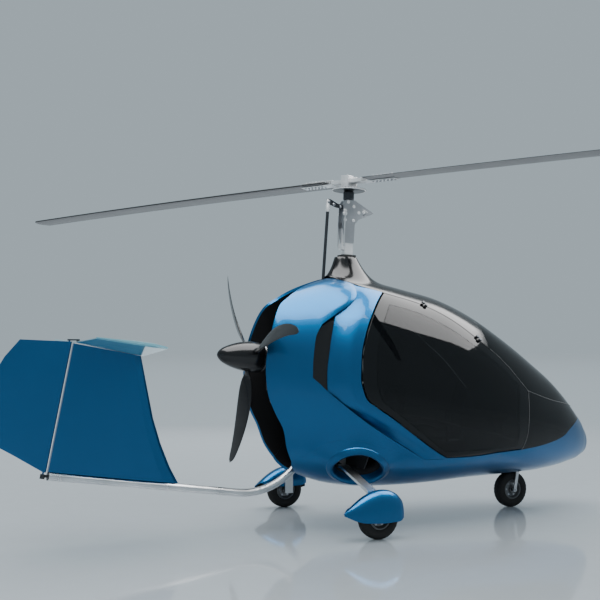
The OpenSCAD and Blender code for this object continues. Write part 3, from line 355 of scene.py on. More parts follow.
# ---------------------------------------------------------------- meshes
def piece(name, vertices, faces, mats, body, stands_for=(), which=None, bevel=0.0, angle=35.0,
          weights=None):
    """A smooth-shaded mesh that rides on a body; which = a material index for each face."""
    mesh = bpy.data.meshes.new(name)
    points = [tuple(v) for v in np.asarray(vertices, float)]
    mesh.from_pydata(points, [], [tuple(int(i) for i in f) for f in faces])
    mesh.validate()
    for m in mats:
        mesh.materials.append(m)
    if which is not None:
        mesh.polygons.foreach_set("material_index", np.asarray(which, np.int32))
    if weights:
        layer = mesh.attributes.new("bevel_weight_edge", "FLOAT", "EDGE")
        keys = {tuple(sorted(e.vertices)): e.index for e in mesh.edges}
        for pair, w in weights.items():
            if pair in keys:
                layer.data[keys[pair]].value = w
    mesh.update()
    mesh.shade_smooth()
    mesh.set_sharp_from_angle(angle=math.radians(angle))
    o = bpy.data.objects.new(name, mesh)
    bpy.context.scene.collection.objects.link(o)
    if bevel:
        b = o.modifiers.new("bevel", "BEVEL")
        b.width = bevel
        b.segments = 3
        b.limit_method = "WEIGHT" if weights else "ANGLE"
        b.angle_limit = math.radians(50)
    if stands_for:
        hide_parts(*stands_for)
    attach(o, body)
    return o


def drawn_back(p, gaps):
    """Moves the edges of a grid in from its neighbours, easing out over a few gap widths."""
    p = p.copy()
    for axis in (0, 1):
        for end in (0, 1):
            gap = gaps[2 * axis + end] / 1000
            if gap <= 0:
                continue
            g = p if axis == 0 else p.transpose(1, 0, 2)
            g = g if end == 0 else g[::-1]
            steps = np.linalg.norm(np.diff(g, axis=0), axis=-1)
            d = np.concatenate([np.zeros((1, g.shape[1])), np.cumsum(steps, 0)])
            toward = unit(g[min(3, len(g) - 1)] - g[0])
            w = np.clip(1 - d / (6 * gap), 0, 1)[..., None]
            g += gap * w * toward[None]
    return p


def panel(name, q, wall, gaps, mats, body, stands_for, hole=None, surface=skin, relief=None,
          bevel=0.0025, edge_rolls=None):
    """A panel of the pod's skin; hole = cells left open, relief = metres outwards at each point."""
    n_out = normal(q, surface)
    outer = surface(q)
    if relief is not None:
        outer = outer + relief[..., None] * n_out
    inner = outer - wall * n_out
    outer, inner = drawn_back(outer, gaps), drawn_back(inner, gaps)
    rows, cols = q.shape[:2]
    k = rows * cols
    kept = np.ones((rows - 1, cols - 1), bool) if hole is None else ~hole
    i, j = np.nonzero(kept)
    a = i * cols + j
    b, c, d = a + 1, a + cols + 1, a + cols
    corner = outer[:-1, :-1]
    facing = np.cross(outer[1:, :-1] - corner, outer[:-1, 1:] - corner)
    side = np.sign(np.median(np.sum(facing * n_out[:-1, :-1], -1)))
    out = np.stack([a, d, c, b] if side > 0 else [a, b, c, d], -1)
    faces = [out, k + out[:, ::-1]]
    pad = np.pad(kept, 1)
    rims = []
    for ok, e, f, way in ((pad[:-2, 1:-1], a, b, 1), (pad[2:, 1:-1], d, c, -1),
                          (pad[1:-1, :-2], a, d, -1), (pad[1:-1, 2:], b, c, 1)):
        m = ~ok[i, j]
        e, f = e[m], f[m]
        rim = np.stack([e, f, k + f, k + e], -1)
        rims.append(rim if way * side > 0 else rim[:, ::-1])
    rims = np.concatenate(rims)
    faces = np.concatenate(faces + [rims])
    which = np.zeros(len(faces), int)
    which[len(out):2 * len(out)] = len(mats) - 1
    weights = None
    if edge_rolls is not None:
        weights = {}
        for e in rims:
            for p0, p1 in ((e[0], e[1]), (e[2], e[3])):
                v = [int(p0), int(p1)]
                at = [x % k % cols for x in v]
                edge = "right" if at == [cols - 1] * 2 else "left" if at == [0, 0] else "rest"
                weights[tuple(sorted(v))] = edge_rolls[edge]
    vertices = np.concatenate([outer.reshape(-1, 3), inner.reshape(-1, 3)])
    used = np.unique(faces)
    remap = np.full(2 * k, -1)
    remap[used] = np.arange(len(used))
    if weights:
        weights = {tuple(sorted(int(remap[v]) for v in pair)): w for pair, w in weights.items()}
    piece(name, vertices[used], remap[faces], mats, body, stands_for, which, bevel, weights=weights)


def both(q):
    """The left and the right version of a panel's grid."""
    return (("left", q), ("right", mirrored(q)))


# ---------------------------------------------------------------- pod panels
PER = 8  # steps from each point of a table to the next
FIT = 0.3  # half the gap between fixed panels, in millimetres
DOOR_GAP = 4  # how far a fixed panel stays back from a door
FITTED = (FIT,) * 4
COWL_FRONT = 139  # where the cowls end on the roof
WINDSCREEN_TOP = 1250  # where the roof strip ends
DOOR_CORNER = (1620, 67)
DOOR_FOOT = (1540, 114.5)

# Roof strip with the pylon, open for the mast
MAST_FRONT, MAST_SHARE = 215, 0.2
xs = np.unique(np.concatenate([between(COWL_TOP_X, 2), np.arange(COWL_FRONT, 420, 9.5), [177, MAST_FRONT],
                               between([420, WINDSCREEN_TOP], 90)]))
share = np.linspace(-1, 1, 81)
q = np.stack([np.repeat(xs[:, None], 81, 1), share[None] * roof_edge(xs)[:, 1:2]], -1)
mid_x, mid_s = (xs[1:] + xs[:-1]) / 2, (share[1:] + share[:-1]) / 2
hole = ((mid_x > COWL_FRONT) & (mid_x < MAST_FRONT))[:, None] & (np.abs(mid_s) < MAST_SHARE)[None]
panel("roof_skin", q, SKIN, FITTED, [BLACK_GLOSS, LINING], "airframe", ["roof_strip"],
      hole=hole, surface=roof)

# Windscreen
foot = smooth(WINDSCREEN_FOOT, PER)[::-1]
across = len(foot) - 1
s = np.linspace(0, 1, 61)[:, None]
j = np.arange(-across, across + 1)
qa = np.abs(j)[None] / across
rear = roof_edge(np.array([float(WINDSCREEN_TOP)]))[0]
f = foot[np.abs(j)]
side_x, side_a = (rear[k] + (DOOR_CORNER[k] - rear[k]) * s for k in (0, 1))
bulge = qa**3 * (curve(ROOF_EDGE, side_x) - side_a)
q = np.stack([rear[0] + (f[None, :, 0] - rear[0]) * s,
              np.sign(j)[None] * (qa * rear[1] + (f[None, :, 1] - qa * rear[1]) * s + bulge)], -1)
panel("windscreen_glass", q, GLASS, (FIT, FIT, DOOR_GAP, DOOR_GAP), [TINTED], "airframe",
      ["windscreen"], bevel=0.0015)

# Nose window
top, low = smooth(WINDSCREEN_FOOT, PER), smooth(BLUE_LINE, PER)
top = np.concatenate([mirrored(top), top[::-1][1:]])
low = np.concatenate([mirrored(low), low[::-1][1:]])
s = np.linspace(0, 1, 33)
front = along(DOOR_FRONT, s)
straight = np.array(DOOR_FOOT) + s[:, None] * (np.array(DOOR_CORNER) - DOOR_FOOT)
j = np.arange(len(top))
half = (len(top) - 1) / 2
side = np.where(j < half, -1, 1)
swell = (np.abs(j - half) / half) ** 4
q = low[None] + s[:, None, None] * (top - low)[None]
shift = swell[None, :, None] * (front - straight)[:, None]
q = q + shift * np.stack([np.ones_like(side), side], -1)[None]
panel("nose_glass", q, GLASS, (FIT, FIT, DOOR_GAP, DOOR_GAP), [TINTED], "airframe",
      ["nose_window"], bevel=0.0015)

# Doors and their panes
DOOR_GAPS = (10, 6, 10, 5)  # below, above, behind and in front
rows, cols = between(DOOR_ROWS, PER), between(DOOR_COLS, PER)
door = patch(sill(between(SILL_X, PER)), roof_edge(between(DOOR_TOP_X, PER)), along(DOOR_REAR, rows),
             along(DOOR_FRONT, rows), rows, cols)
window = np.zeros((len(rows) - 1, len(cols) - 1), bool)
window[PER:-PER, PER:-PER] = True
for name, q in both(door):
    body = "door_" + name
    panel("door_frame_" + name, q, DOOR_WALL, DOOR_GAPS, [DOOR_BLACK, DARK], body, [body],
          hole=window)
    panel("door_glass_" + name, q[PER:-PER, PER:-PER], GLASS, FITTED, [TINTED], body,
          ["door_pane_" + name], bevel=0)

# Side pillars, let in behind the cowl's front edge
shoulder = smooth([[-100, 48], [20, 42], [110, 34], [COWL_FRONT, float(curve(ROOF_EDGE, COWL_FRONT))]], PER)
left = np.concatenate([smooth(CREASE, PER), smooth(PILLAR_LIP, PER), shoulder])
rows = np.linspace(0, 1, len(left))
right = along(DOOR_REAR, np.interp(rows, np.linspace(0, 1, len(PILLAR_ROWS)), PILLAR_ROWS))
cols = np.linspace(0, 1, 41)
pillar = patch(smooth(PILLAR_FOOT, PER), roof_edge(between(PILLAR_TOP_X, PER)), left, right, rows, cols)
DEPTH = [0, 14, 27, 36, 39, 40, 38, 36, 36, 36, 35, 33, 30, 26, 18, 6]
SUNK_WIDTH = 0.75
depth = np.interp(rows, np.linspace(0, 1, len(DEPTH)), DEPTH) / 1000
sunk = depth[:, None] * (1 - eased(cols / SUNK_WIDTH))[None]
for name, q in both(pillar):
    panel("pillar_skin_" + name, q, SKIN, (FIT, FIT, FIT, DOOR_GAP), [BLUE, LINING], "airframe",
          ["side_pillar_" + name], relief=-sunk)

# Leg sockets: station, angle and half sizes of the opening
SOCKET = (85, 140, 195, 17)
SWELL, SWELL_REACH = 0.052, 0.85


def fold(angle):
    """The angle from the top on either side."""
    return 180 - np.abs(180 - angle)


def socket_ring(q):
    """1 on the edge of a leg socket, less inside it and more outside."""
    return np.hypot((q[..., 0] - SOCKET[0]) / SOCKET[2], (fold(q[..., 1]) - SOCKET[1]) / SOCKET[3])


def eyelid(q):
    """How far the hull swells out over a leg socket, in metres."""
    r = np.maximum(socket_ring(q), 1)
    up = (SOCKET[1] - fold(q[..., 1])) / SOCKET[3] / r
    over = 0.25 + 0.75 * eased((up + 0.35) / 1.1)
    return SWELL * over * np.clip(1 - (r - 1) / SWELL_REACH, 0, 1) ** 1.6


# Rear cowls
right = np.concatenate([smooth(CREASE, PER), smooth(COWL_LIP, PER), shoulder])
rows = np.linspace(0, 1, len(right))
cols = between(np.linspace(0, 1, 9), PER)
cowl = patch(smooth(SEAM, PER), roof_edge(between(COWL_TOP_X, PER)), along(REAR_EDGE, rows), right, rows,
             cols)
CREASE_ROLL, SHOULDER_ROLL, ROLL_WIDTH = [0, 12, 24, 32, 36, 36], [6, 13, 12, 4], 0.05
roll = np.concatenate([between(CREASE_ROLL, PER), np.zeros(len(smooth(COWL_LIP, PER))),
                       between(SHOULDER_ROLL, PER)]) / 1000
steps = np.linalg.norm(np.diff(skin(cowl)[:, ::-1], axis=1), axis=-1)
inward = np.concatenate([np.zeros((len(cowl), 1)), np.cumsum(steps, 1)], 1)[:, ::-1]
turned_in = roll[:, None] * np.clip(1 - inward / ROLL_WIDTH, 0, 1) ** 2
for name, q in both(cowl):
    panel("cowl_skin_" + name, q, SKIN, (FIT, FIT, 0, FIT), [BLUE, LINING], "airframe",
          ["rear_cowl_" + name], relief=eyelid(cowl) - turned_in, bevel=0.012,
          edge_rolls={"right": 0.6, "left": 0.3, "rest": 0.04})

# Lower hull with its leg sockets and the nose wheel's well
HULL_COLS = 9
HULL_REAR, TUCK, TUCK_REACH = -384, 134, 400  # its rear edge runs forward below
SNAP, OPEN = 0.86, 0.985  # from SNAP out, the grid is drawn to the socket's edge
WELL_REAR, WELL_FRONT, WELL_HALF = 1600, 1900, 0.1
edge = np.concatenate([smooth(SEAM, PER), smooth(PILLAR_FOOT, PER)[1:], sill(between(SILL_X, PER))[1:],
                       smooth(BLUE_LINE, PER)[1:FIRST_NOSE_POINT * PER + 1]])
share = np.linspace(-1, 1, 2 * HULL_COLS * 6 + 1)
p = 1 - np.abs(share)
notch = TUCK * np.maximum(0, 1 - (edge[:, 0] - HULL_REAR) / TUCK_REACH)
qx = edge[:, :1] + notch[:, None] * p[None] ** 1.4
base = np.where(share < 0, edge[:, 1:2], 360 - edge[:, 1:2])
q = np.stack([qx, base + (180 - base) * p[None]], -1)
rho = socket_ring(q)
grow = np.where((rho > SNAP) & (rho < 1.0), 1 / np.maximum(rho, 0.01), 1)
drawn = SOCKET[1] + (fold(q[..., 1]) - SOCKET[1]) * grow
hull = np.stack([SOCKET[0] + (q[..., 0] - SOCKET[0]) * grow, np.where(q[..., 1] <= 180, drawn, 360 - drawn)],
                -1)
mid = (hull[1:, 1:] + hull[:-1, 1:] + hull[1:, :-1] + hull[:-1, :-1]) / 4
well = ((mid[..., 0] > WELL_REAR) & (mid[..., 0] < WELL_FRONT) & (np.abs(skin(mid)[..., 1]) < WELL_HALF)
        & (fold(mid[..., 1]) > 150))
panel("hull_skin", hull, SKIN, (0, FIT, FIT, FIT), [BLUE, LINING], "airframe", ["lower_hull"],
      hole=(socket_ring(mid) < OPEN) | well, relief=eyelid(hull))

# Nose cap
NOSE_RINGS = 41
NOSE_CENTRE = np.array([1.95, 0, 0.6])
blue_line = smooth(BLUE_LINE, PER)[FIRST_NOSE_POINT * PER:]
base = blue_line[0]
share = np.linspace(1, -1, 2 * HULL_COLS * 6 + 1)[1:-1]
p = 1 - np.abs(share)
under = np.stack([np.full_like(p, base[0]), np.where(share > 0, -1, 1) * (base[1] + (180 - base[1]) * p)], -1)
rim = np.concatenate([blue_line, mirrored(blue_line[::-1][1:]), under])
steps = (1 - np.linspace(0, 1, NOSE_RINGS)) ** 2
q = np.stack([NOSE_X - (NOSE_X - rim[None, :, 0]) * steps[:, None],
              np.repeat(rim[None, :, 1], NOSE_RINGS, 0)], -1)
outer = skin(q)
inner = outer - SKIN * unit(outer - NOSE_CENTRE)
count = len(rim)
total = NOSE_RINGS * count
faces, which = [], []
for k in range(NOSE_RINGS - 1):
    for i in range(count):
        a, b = k * count + i, k * count + (i + 1) % count
        faces += [(a, a + count, b + count, b), (total + a, total + b, total + b + count, total + a + count)]
        which += [0, 1]
for i in range(count):
    b = (i + 1) % count
    faces.append((i, b, total + b, total + i))
faces.append(tuple(range(total - count, total)))
which += [0] * (count + 1)
piece("nose_skin", np.concatenate([outer.reshape(-1, 3), inner.reshape(-1, 3)]), faces, [BLUE, LINING],
      "airframe", ["nose_cap"], which)


# ---------------------------------------------------------------- lofts and turned pieces
TINY = 1e-6


def placed(v, place):
    m = np.array(place)
    return v @ m[:3, :3].T + m[:3, 3]


def outward(o, merge=0.0):
    """Turns every face of a closed mesh out, after joining points closer than merge."""
    bm = bmesh.new()
    bm.from_mesh(o.data)
    if merge:
        bmesh.ops.remove_doubles(bm, verts=bm.verts, dist=merge)
    bmesh.ops.recalc_face_normals(bm, faces=bm.faces)
    bm.to_mesh(o.data)
    bm.free()


def lofted(name, rings, mats, body, stands_for=(), kind=None, place=None, bevel=0.0, angle=35.0):
    """Closed solid through rings of equal counts, all in metres; kind gives a face's material index."""
    r = np.asarray(rings, float)
    k, n = r.shape[:2]
    i = np.arange(n)
    faces, which = [], []
    for row in range(k - 1):
        a = row * n + i
        b = row * n + (i + 1) % n
        faces += list(np.stack([a, b, b + n, a + n], -1))
        which += [kind(c) if kind else 0 for c in range(n)]
    faces += [list(i[::-1]), list((k - 1) * n + i)]
    which += [0, 0]
    v = r.reshape(-1, 3)
    if place is not None:
        v = placed(v, place)
    outward(piece(name, v, faces, mats, body, stands_for, which, bevel, angle))


def turned(name, profile, mat, body, place, stands_for=(), sides=96, angle=32.0, flute=None):
    """Turned about local Z: profile = [radius, height] points of a closed outline, in metres."""
    p = np.asarray(profile, float)
    a = np.linspace(0, 2 * np.pi, sides, endpoint=False)
    v = np.stack([p[:, None, 0] * np.cos(a), p[:, None, 0] * np.sin(a), np.repeat(p[:, 1:2], sides, 1)], -1)
    if flute is not None:
        v = flute(v, a)
    faces = []
    for i in range(len(p)):
        j = (i + 1) % len(p)
        if max(p[i, 0], p[j, 0]) >= TINY:
            for s in range(sides):
                t = (s + 1) % sides
                faces.append((i * sides + s, i * sides + t, j * sides + t, j * sides + s))
    o = piece(name, placed(v.reshape(-1, 3), place), faces, [mat], body, stands_for, angle=angle)
    outward(o, TINY)


def moved(x=0.0, y=0.0, z=0.0):
    return Matrix.Translation((x, y, z))


def spun(degrees, axis):
    return Matrix.Rotation(math.radians(degrees), 4, axis)


def hexes(name, places, radius, height, mat, body):
    """Bolts with washers: each place is a matrix whose Z points out of the surface."""
    verts, faces = [], []
    for m in places:
        m = np.array(m)
        for sides, r, low, high in ((24, radius * 1.7, -0.004, 0.0015), (6, radius, -0.002, height)):
            start = len(verts)
            a = np.arange(sides) * 2 * np.pi / sides
            for z, k in ((low, 1), (high - 0.2 * height, 1), (high, 0.86)):
                for t in a:
                    point = np.array([k * r * math.cos(t), k * r * math.sin(t), z])
                    verts.append(m[:3, :3] @ point + m[:3, 3])
            for ring in range(2):
                base = start + ring * sides
                for s in range(sides):
                    t = (s + 1) % sides
                    faces.append((base + s, base + t, base + sides + t, base + sides + s))
            faces.append(tuple(start + 2 * sides + s for s in range(sides)))
            faces.append(tuple(start + s for s in range(sides - 1, -1, -1)))
    piece(name, verts, faces, [mat], body, angle=30)


def pipe(name, points, radius, mat, body, stands_for=(), sides=20, per=10):
    """A round tube along a smooth line through the points."""
    p = np.asarray(points, float)
    t = np.concatenate([[0], np.cumsum(np.linalg.norm(np.diff(p, axis=0), axis=1))])
    at = between(t, per)
    line = np.stack([curve(np.stack([t, p[:, k]], 1), at) for k in range(3)], -1)
    way = unit(np.gradient(line, axis=0))
    up = np.array([0.0, 1.0, 0.0]) if abs(way[0, 1]) < 0.9 else np.array([0.0, 0.0, 1.0])
    rings = []
    a = np.arange(sides) * 2 * np.pi / sides
    for c, d in zip(line, way):
        u = unit(np.cross(d, up))
        up = np.cross(u, d)
        rings.append(c + radius * (np.cos(a)[:, None] * u + np.sin(a)[:, None] * up))
    lofted(name, rings, [mat], body, stands_for, angle=50)


# ---------------------------------------------------------------- rotor
MAST_LEAN, BLADE_AZIMUTH, INCIDENCE = 2.2, 114.4, 3.0
HUB = moved(0.2, 0, 2.68) @ spun(MAST_LEAN, "Y")
SPAN, ROOT, CHORD, DROOP = 4.18, 0.23, 0.21, 0.05
TIP, TIP_CUT, PITCH_AXIS = 0.06, 0.14, 0.3
FOIL_POINTS, EDGE = 29, 0.004


def foil(u):
    return 0.6 * (0.2969 * np.sqrt(u) - 0.126 * u - 0.3516 * u**2 + 0.2843 * u**3 - 0.1036 * u**4)


chordwise = (1 - np.cos(np.linspace(0, np.pi, FOIL_POINTS))) / 2
outline_u = np.concatenate([chordwise, chordwise[-2:0:-1]])
outline_t = np.maximum(foil(outline_u), EDGE)
outline_t[FOIL_POINTS:] *= -1
outline_t[0] = 0
stations = np.concatenate([np.linspace(ROOT, SPAN - TIP, 60), np.linspace(SPAN - TIP, SPAN, 8)[1:]])
cuts = TIP_CUT * np.clip((stations - SPAN + TIP) / TIP, 0, 1) ** 2
rings = [np.stack([np.full(len(outline_u), x), CHORD * (PITCH_AXIS - cut - outline_u * (1 - cut)),
                   CHORD * (1 - cut) * outline_t - DROOP * ((x - ROOT) / SPAN) ** 2], -1)
         for x, cut in zip(stations, cuts)]


def blade_kind(c):
    """The dark finish on the upper side and along both edges."""
    return int(c < FOIL_POINTS - 1 or outline_u[c] < 0.035 or outline_u[c] > 0.955)


for turn, name in ((0, "rear"), (180, "front")):
    at = HUB @ spun(BLADE_AZIMUTH + turn, "Z") @ spun(INCIDENCE, "X")
    lofted("blade_skin_" + name, rings, [BLADE, BLADE_EDGE], "rotor_teeter",
           ["rotor_blade_" + name], blade_kind, at, angle=50)
    bolts = [at @ moved(x, y, face * 0.0205) @ spun(0 if face > 0 else 180, "X")
             for x in (0.255, 0.29, 0.325, 0.36, 0.395, 0.43) for y in (-0.022, 0.022) for face in (-1, 1)]
    hexes("strap_bolts_" + name, bolts, 0.0065, 0.006, STEEL, "rotor_teeter")

# Ring gear under the hub, with its teeth
RING_GEAR = [[0.016, -0.0735], [0.127, -0.0735], [0.1345, -0.0705], [0.1365, -0.067], [0.1365, -0.0605],
             [0.133, -0.0595], [0.016, -0.0595]]
HUB_CAP = [[0, 0.024], [0.030, 0.024], [0.036, 0.030], [0.036, 0.040], [0.031, 0.0455], [0.015, 0.0465],
           [0, 0.0465]]


def toothed(v, a):
    v = v.copy()
    v[3:5, :, :2] *= (1 - 0.018 * (np.arange(len(a)) % 4 > 1))[:, None]
    return v


turned("ring_gear", RING_GEAR, DARK_METAL, "rotor", HUB, sides=288, flute=toothed)
turned("hub_cap", HUB_CAP, WHITE_METAL, "rotor_teeter", HUB)

# Control strut with its clevis and the links beside the head
STRUT_FOOT, STRUT_TOP = Vector((-0.046, 0, 1.70)), Vector((0.0108, 0, 2.462))
CLEVIS = [[0, -0.03], [0.0155, -0.03], [0.0165, -0.026], [0.0165, 0.02], [0.0135, 0.028], [0.0135, 0.062],
          [0.010, 0.068], [0, 0.068]]
ARM = [(0.004, 2.500), (0.030, 2.492), (0.090, 2.470), (0.150, 2.462), (0.150, 2.485), (0.090, 2.500),
       (0.030, 2.530), (0.008, 2.534)]
ARM_INSIDE, ARM_OUTSIDE = 0.0085, 0.0135
way = (STRUT_TOP - STRUT_FOOT).normalized()
pipe("strut_tube", [STRUT_FOOT, STRUT_FOOT.lerp(STRUT_TOP, 0.5), STRUT_TOP], 0.0125, DARK_METAL,
     "airframe", ["control_strut"])
turned("strut_clevis", CLEVIS, WHITE_METAL, "airframe",
       Matrix.Translation(STRUT_TOP) @ way.to_track_quat("Z", "Y").to_matrix().to_4x4(), sides=48)
for name, side in SIDES[::-1]:
    lofted("strut_arm_" + name, [[(x, side * y, z) for x, z in ARM] for y in (ARM_INSIDE, ARM_OUTSIDE)],
           [DARK_METAL], "airframe", bevel=0.001)
pins = [moved(x, side * ARM_OUTSIDE, z) @ spun(-90 * side, "X")
        for x, z in ((0.0155, 2.513), (0.060, 2.492), (0.120, 2.476)) for side in (-1, 1)]
hexes("strut_pins", pins, 0.007, 0.007, STEEL, "airframe")

# Control rods and their bosses on the sides of the mast
HEAD_FACE = 0.041
BOSS = [[0, -0.004], [0.017, -0.004], [0.017, 0.008], [0.014, 0.012], [0, 0.012]]
for name, side in SIDES[::-1]:
    rod = [HUB @ Vector((x, side * 0.050, z)) for x, z in ((-0.052, -0.52), (-0.054, -0.40), (-0.050, -0.26))]
    pipe("head_rod_" + name, rod, 0.006, BARE, "airframe")
    turned("head_boss_" + name, BOSS, WHITE_METAL, "airframe",
           HUB @ moved(-0.05, side * HEAD_FACE, -0.262) @ spun(-90 * side, "X"), sides=48)
block = [[HUB @ Vector((x, y, z)) for x, y in ((-0.062, -0.026), (-0.036, -0.026), (-0.036, 0.026),
                                                (-0.062, 0.026))] for z in (-0.545, -0.495)]
lofted("mast_block", block, [WHITE_METAL], "airframe", bevel=0.003)

# Head plates' bolts and the edge of their cut-out
HEAD_BOLTS = [(-0.045, -0.31), (0.03, -0.31), (-0.045, -0.235), (0.03, -0.2), (-0.02, -0.168),
              (0.075, -0.245), (0.12, -0.235)]
HEAD_SLOT = [(0.098, -0.205), (0.158, -0.232), (0.108, -0.266), (0.121, -0.262), (0.148, -0.236),
             (0.112, -0.212)]
for name, side in SIDES[::-1]:
    bolts = [HUB @ moved(x, side * HEAD_FACE, z) @ spun(-90 * side, "X") for x, z in HEAD_BOLTS]
    hexes("head_bolts_" + name, bolts, 0.008, 0.008, WHITE_METAL, "airframe")
    rings = [[HUB @ Vector((x, side * (HEAD_FACE - 0.002 + d), z)) for x, z in HEAD_SLOT]
             for d in (0, 0.0026)]
    lofted("head_slot_" + name, rings, [WHITE_METAL], "airframe")

# ---------------------------------------------------------------- propeller
SHAFT = moved(-0.652, 0, 1.295) @ spun(-90 + 3.8, "Y")
# Radius, chord, sweep and pitch
PROP_BLADE = [[60, 46, 0, 0], [115, 46, 0, 0], [150, 62, 2, -34], [230, 112, 10, -30], [340, 138, 20, -25],
              [480, 136, 16, -21], [620, 116, -6, -18], [740, 88, -40, -16], [830, 56, -78, -15],
              [869, 22, -100, -15]]
ROUND_END, BLEND_END, BLADE_SIDES = 115, 150, 32


def blade_thickness(r):
    return np.maximum(0.09, 0.3 - r / 2600)


table = np.array(PROP_BLADE, float)
places = np.concatenate([[60, 90, ROUND_END], np.linspace(120, BLEND_END, 7), np.linspace(157, 869, 70)])
chord, sweep, pitch = (curve(table[:, [0, k]], places) for k in (1, 2, 3))
shank = places <= ROUND_END
chord[shank], sweep[shank], pitch[shank] = PROP_BLADE[0][1:]
chord[-2:] = 15, 6
thick = np.where(places < BLEND_END, np.interp(places, [ROUND_END, BLEND_END],
                                                [1, blade_thickness(BLEND_END)]), blade_thickness(places))
a = np.arange(BLADE_SIDES) * 2 * np.pi / BLADE_SIDES
rings = []
for r, c, sw, pi, th in zip(places, chord, sweep, np.radians(pitch), thick):
    u, w = c / 2 * np.cos(a), c / 2 * th * np.sin(a)
    rings.append(np.stack([np.full(BLADE_SIDES, r), u * np.cos(pi) - w * np.sin(pi) + sw,
                           u * np.sin(pi) + w * np.cos(pi)], -1) / 1000)
for k, turn in enumerate((168, 48, -72)):
    lofted("prop_blade_%d" % (k + 1), rings, [CARBON], "propeller", ["prop_blades"],
           place=SHAFT @ spun(turn, "Z"), angle=60)

# Spinner: shares of its radius and of its length
SPINNER_LINE = [[0.82, 0], [0.97, 0.05], [1, 0.16], [0.97, 0.33], [0.86, 0.55], [0.65, 0.76], [0.38, 0.92],
                [0.12, 0.99], [0, 1]]
SPINNER_RADIUS, SPINNER_LENGTH, SPINNER_FOOT = 0.118, 0.363, -0.1
PLATE = [[0.06, -0.1035], [0.104, -0.1035], [0.104, -0.0965], [0.06, -0.0965]]
p = np.array(SPINNER_LINE)
t = np.concatenate([[0], np.cumsum(np.hypot(*np.diff(p * [SPINNER_RADIUS, SPINNER_LENGTH], axis=0).T))])
at = between(t, 6)
line = np.stack([curve(np.stack([t, p[:, k]], 1), at) for k in (0, 1)], -1)
line[:, 0] = np.clip(line[:, 0], 0, 1)
line[-1] = [0, 1]
profile = [[0, SPINNER_FOOT]] + [[SPINNER_RADIUS * r, SPINNER_FOOT + SPINNER_LENGTH * z] for r, z in line]
turned("spinner_skin", profile, CARBON, "propeller", SHAFT, ["spinner"], angle=50)
turned("spinner_plate", PLATE, BARE, "propeller", SHAFT)
bolts = [SHAFT @ spun(60 * k, "Z") @ moved(0.084, 0, -0.1035) @ spun(180, "X") for k in range(6)]
hexes("prop_hub_bolts", bolts, 0.006, 0.005, STEEL, "propeller")
bolts = [SHAFT @ spun(45 * k, "Z") @ moved(0.0622, 0, -0.118) @ spun(90, "Y") for k in range(8)]
hexes("gearbox_bolts", bolts, 0.0045, 0.004, STEEL, "airframe")

# ---------------------------------------------------------------- wheels
WHEEL_RADIUS, HALF_TRACK, NOSE_WHEEL_X = 0.1525, 0.813, 1.767
TREAD = [[83, 36.5], [85, 39.5], [95, 44], [108, 46.8], [121, 47.4], [133, 45], [142, 39.5], [147, 33.5],
         [149.8, 27], [150.4, 25.2], [146, 24.4], [146, 21], [151, 20.2], [152.1, 11], [147.2, 10.2],
         [147.2, 7], [152.3, 6.2], [152.4, 0]]
RIM_LINE = [[17, 33], [27, 33], [29, 26], [33, 17], [44, 12.5], [58, 12], [64, 17], [69, 29], [73, 37.5],
            [79, 39], [82, 37], [82, 30], [76, 26], [74, 18], [74, 0]]
TYRE_PROFILE, RIM_PROFILE = (np.array(line + [[r, -y] for r, y in line[::-1][1:]]) / 1000
                             for line in (TREAD, RIM_LINE))
LUGS, LUG_DEPTH = 30, 0.016


def blocks(v, a):
    """Lugs cut into the tyre's shoulders."""
    radius, out = TYRE_PROFILE[:, 0], np.abs(TYRE_PROFILE[:, 1])
    lug = 0.5 + 0.5 * np.sign(np.sin(LUGS * a))
    v = v.copy()
    v[(radius > 0.140) & (radius < 0.1502) & (out > 0.026), :, :2] *= (1 - LUG_DEPTH * lug)[:, None]
    return v


def wheel(name, body, node, x, y):
    at = moved(x, y, WHEEL_RADIUS) @ spun(90, "X")
    turned("tyre_" + name, TYRE_PROFILE, TYRE, body, at, [node % "tyre"], 240, 28, blocks)
    turned("rim_" + name, RIM_PROFILE, WHEEL, body, at, [node % "rim"])
    for face, flip in (("out", 0), ("in", 180)):
        bolts = [at @ spun(flip, "X") @ spun(60 * k, "Z") @ moved(0.051, 0, 0.0122) for k in range(6)]
        hexes("wheel_bolts_%s_%s" % (name, face), bolts, 0.0055, 0.005, STEEL, body)


for name, side in SIDES:
    wheel(name, "wheel_" + name, "main_%s_" + name, 0, side * HALF_TRACK)
wheel("nose", "nose_wheel", "nose_%s", NOSE_WHEEL_X, 0)

# Wheel pants
PANT_PLAN = [[-272, 6], [-240, 28], [-180, 55], [-110, 74], [-30, 85], [60, 83], [120, 76], [165, 62],
             [192, 40], [204, 12]]
PANT_TOP = [[-272, 196], [-240, 222], [-180, 268], [-110, 312], [-30, 343], [40, 350], [110, 334],
            [160, 300], [192, 250], [204, 200]]
PANT_FOOT = [[-272, 180], [-180, 140], [-60, 126], [80, 126], [170, 138], [204, 165]]
PANT_WALL = 0.004
PANT_POINTS, PANT_POWER = 49, 0.8
INSIDE_RISE, RISE_BY = 62, 60  # the inner edge is higher, to clear the axle
x = np.unique(np.concatenate([np.linspace(-272, 160, 49), np.linspace(160, 204, 19)]))
turn = np.linspace(0, np.pi, PANT_POINTS)
width = np.maximum(2, curve(PANT_PLAN, x))[:, None]
rise = INSIDE_RISE * np.clip((turn - np.pi / 2) / np.radians(RISE_BY), 0, 1)
top = curve(PANT_TOP, x)[:, None]
low = np.minimum(curve(PANT_FOOT, x)[:, None] + rise, top - 6)
shape = np.stack([np.repeat(x[:, None], PANT_POINTS, 1),
                  width * np.sign(np.cos(turn)) * np.abs(np.cos(turn)) ** PANT_POWER,
                  low + (top - low) * np.sin(turn) ** PANT_POWER], -1) / 1000
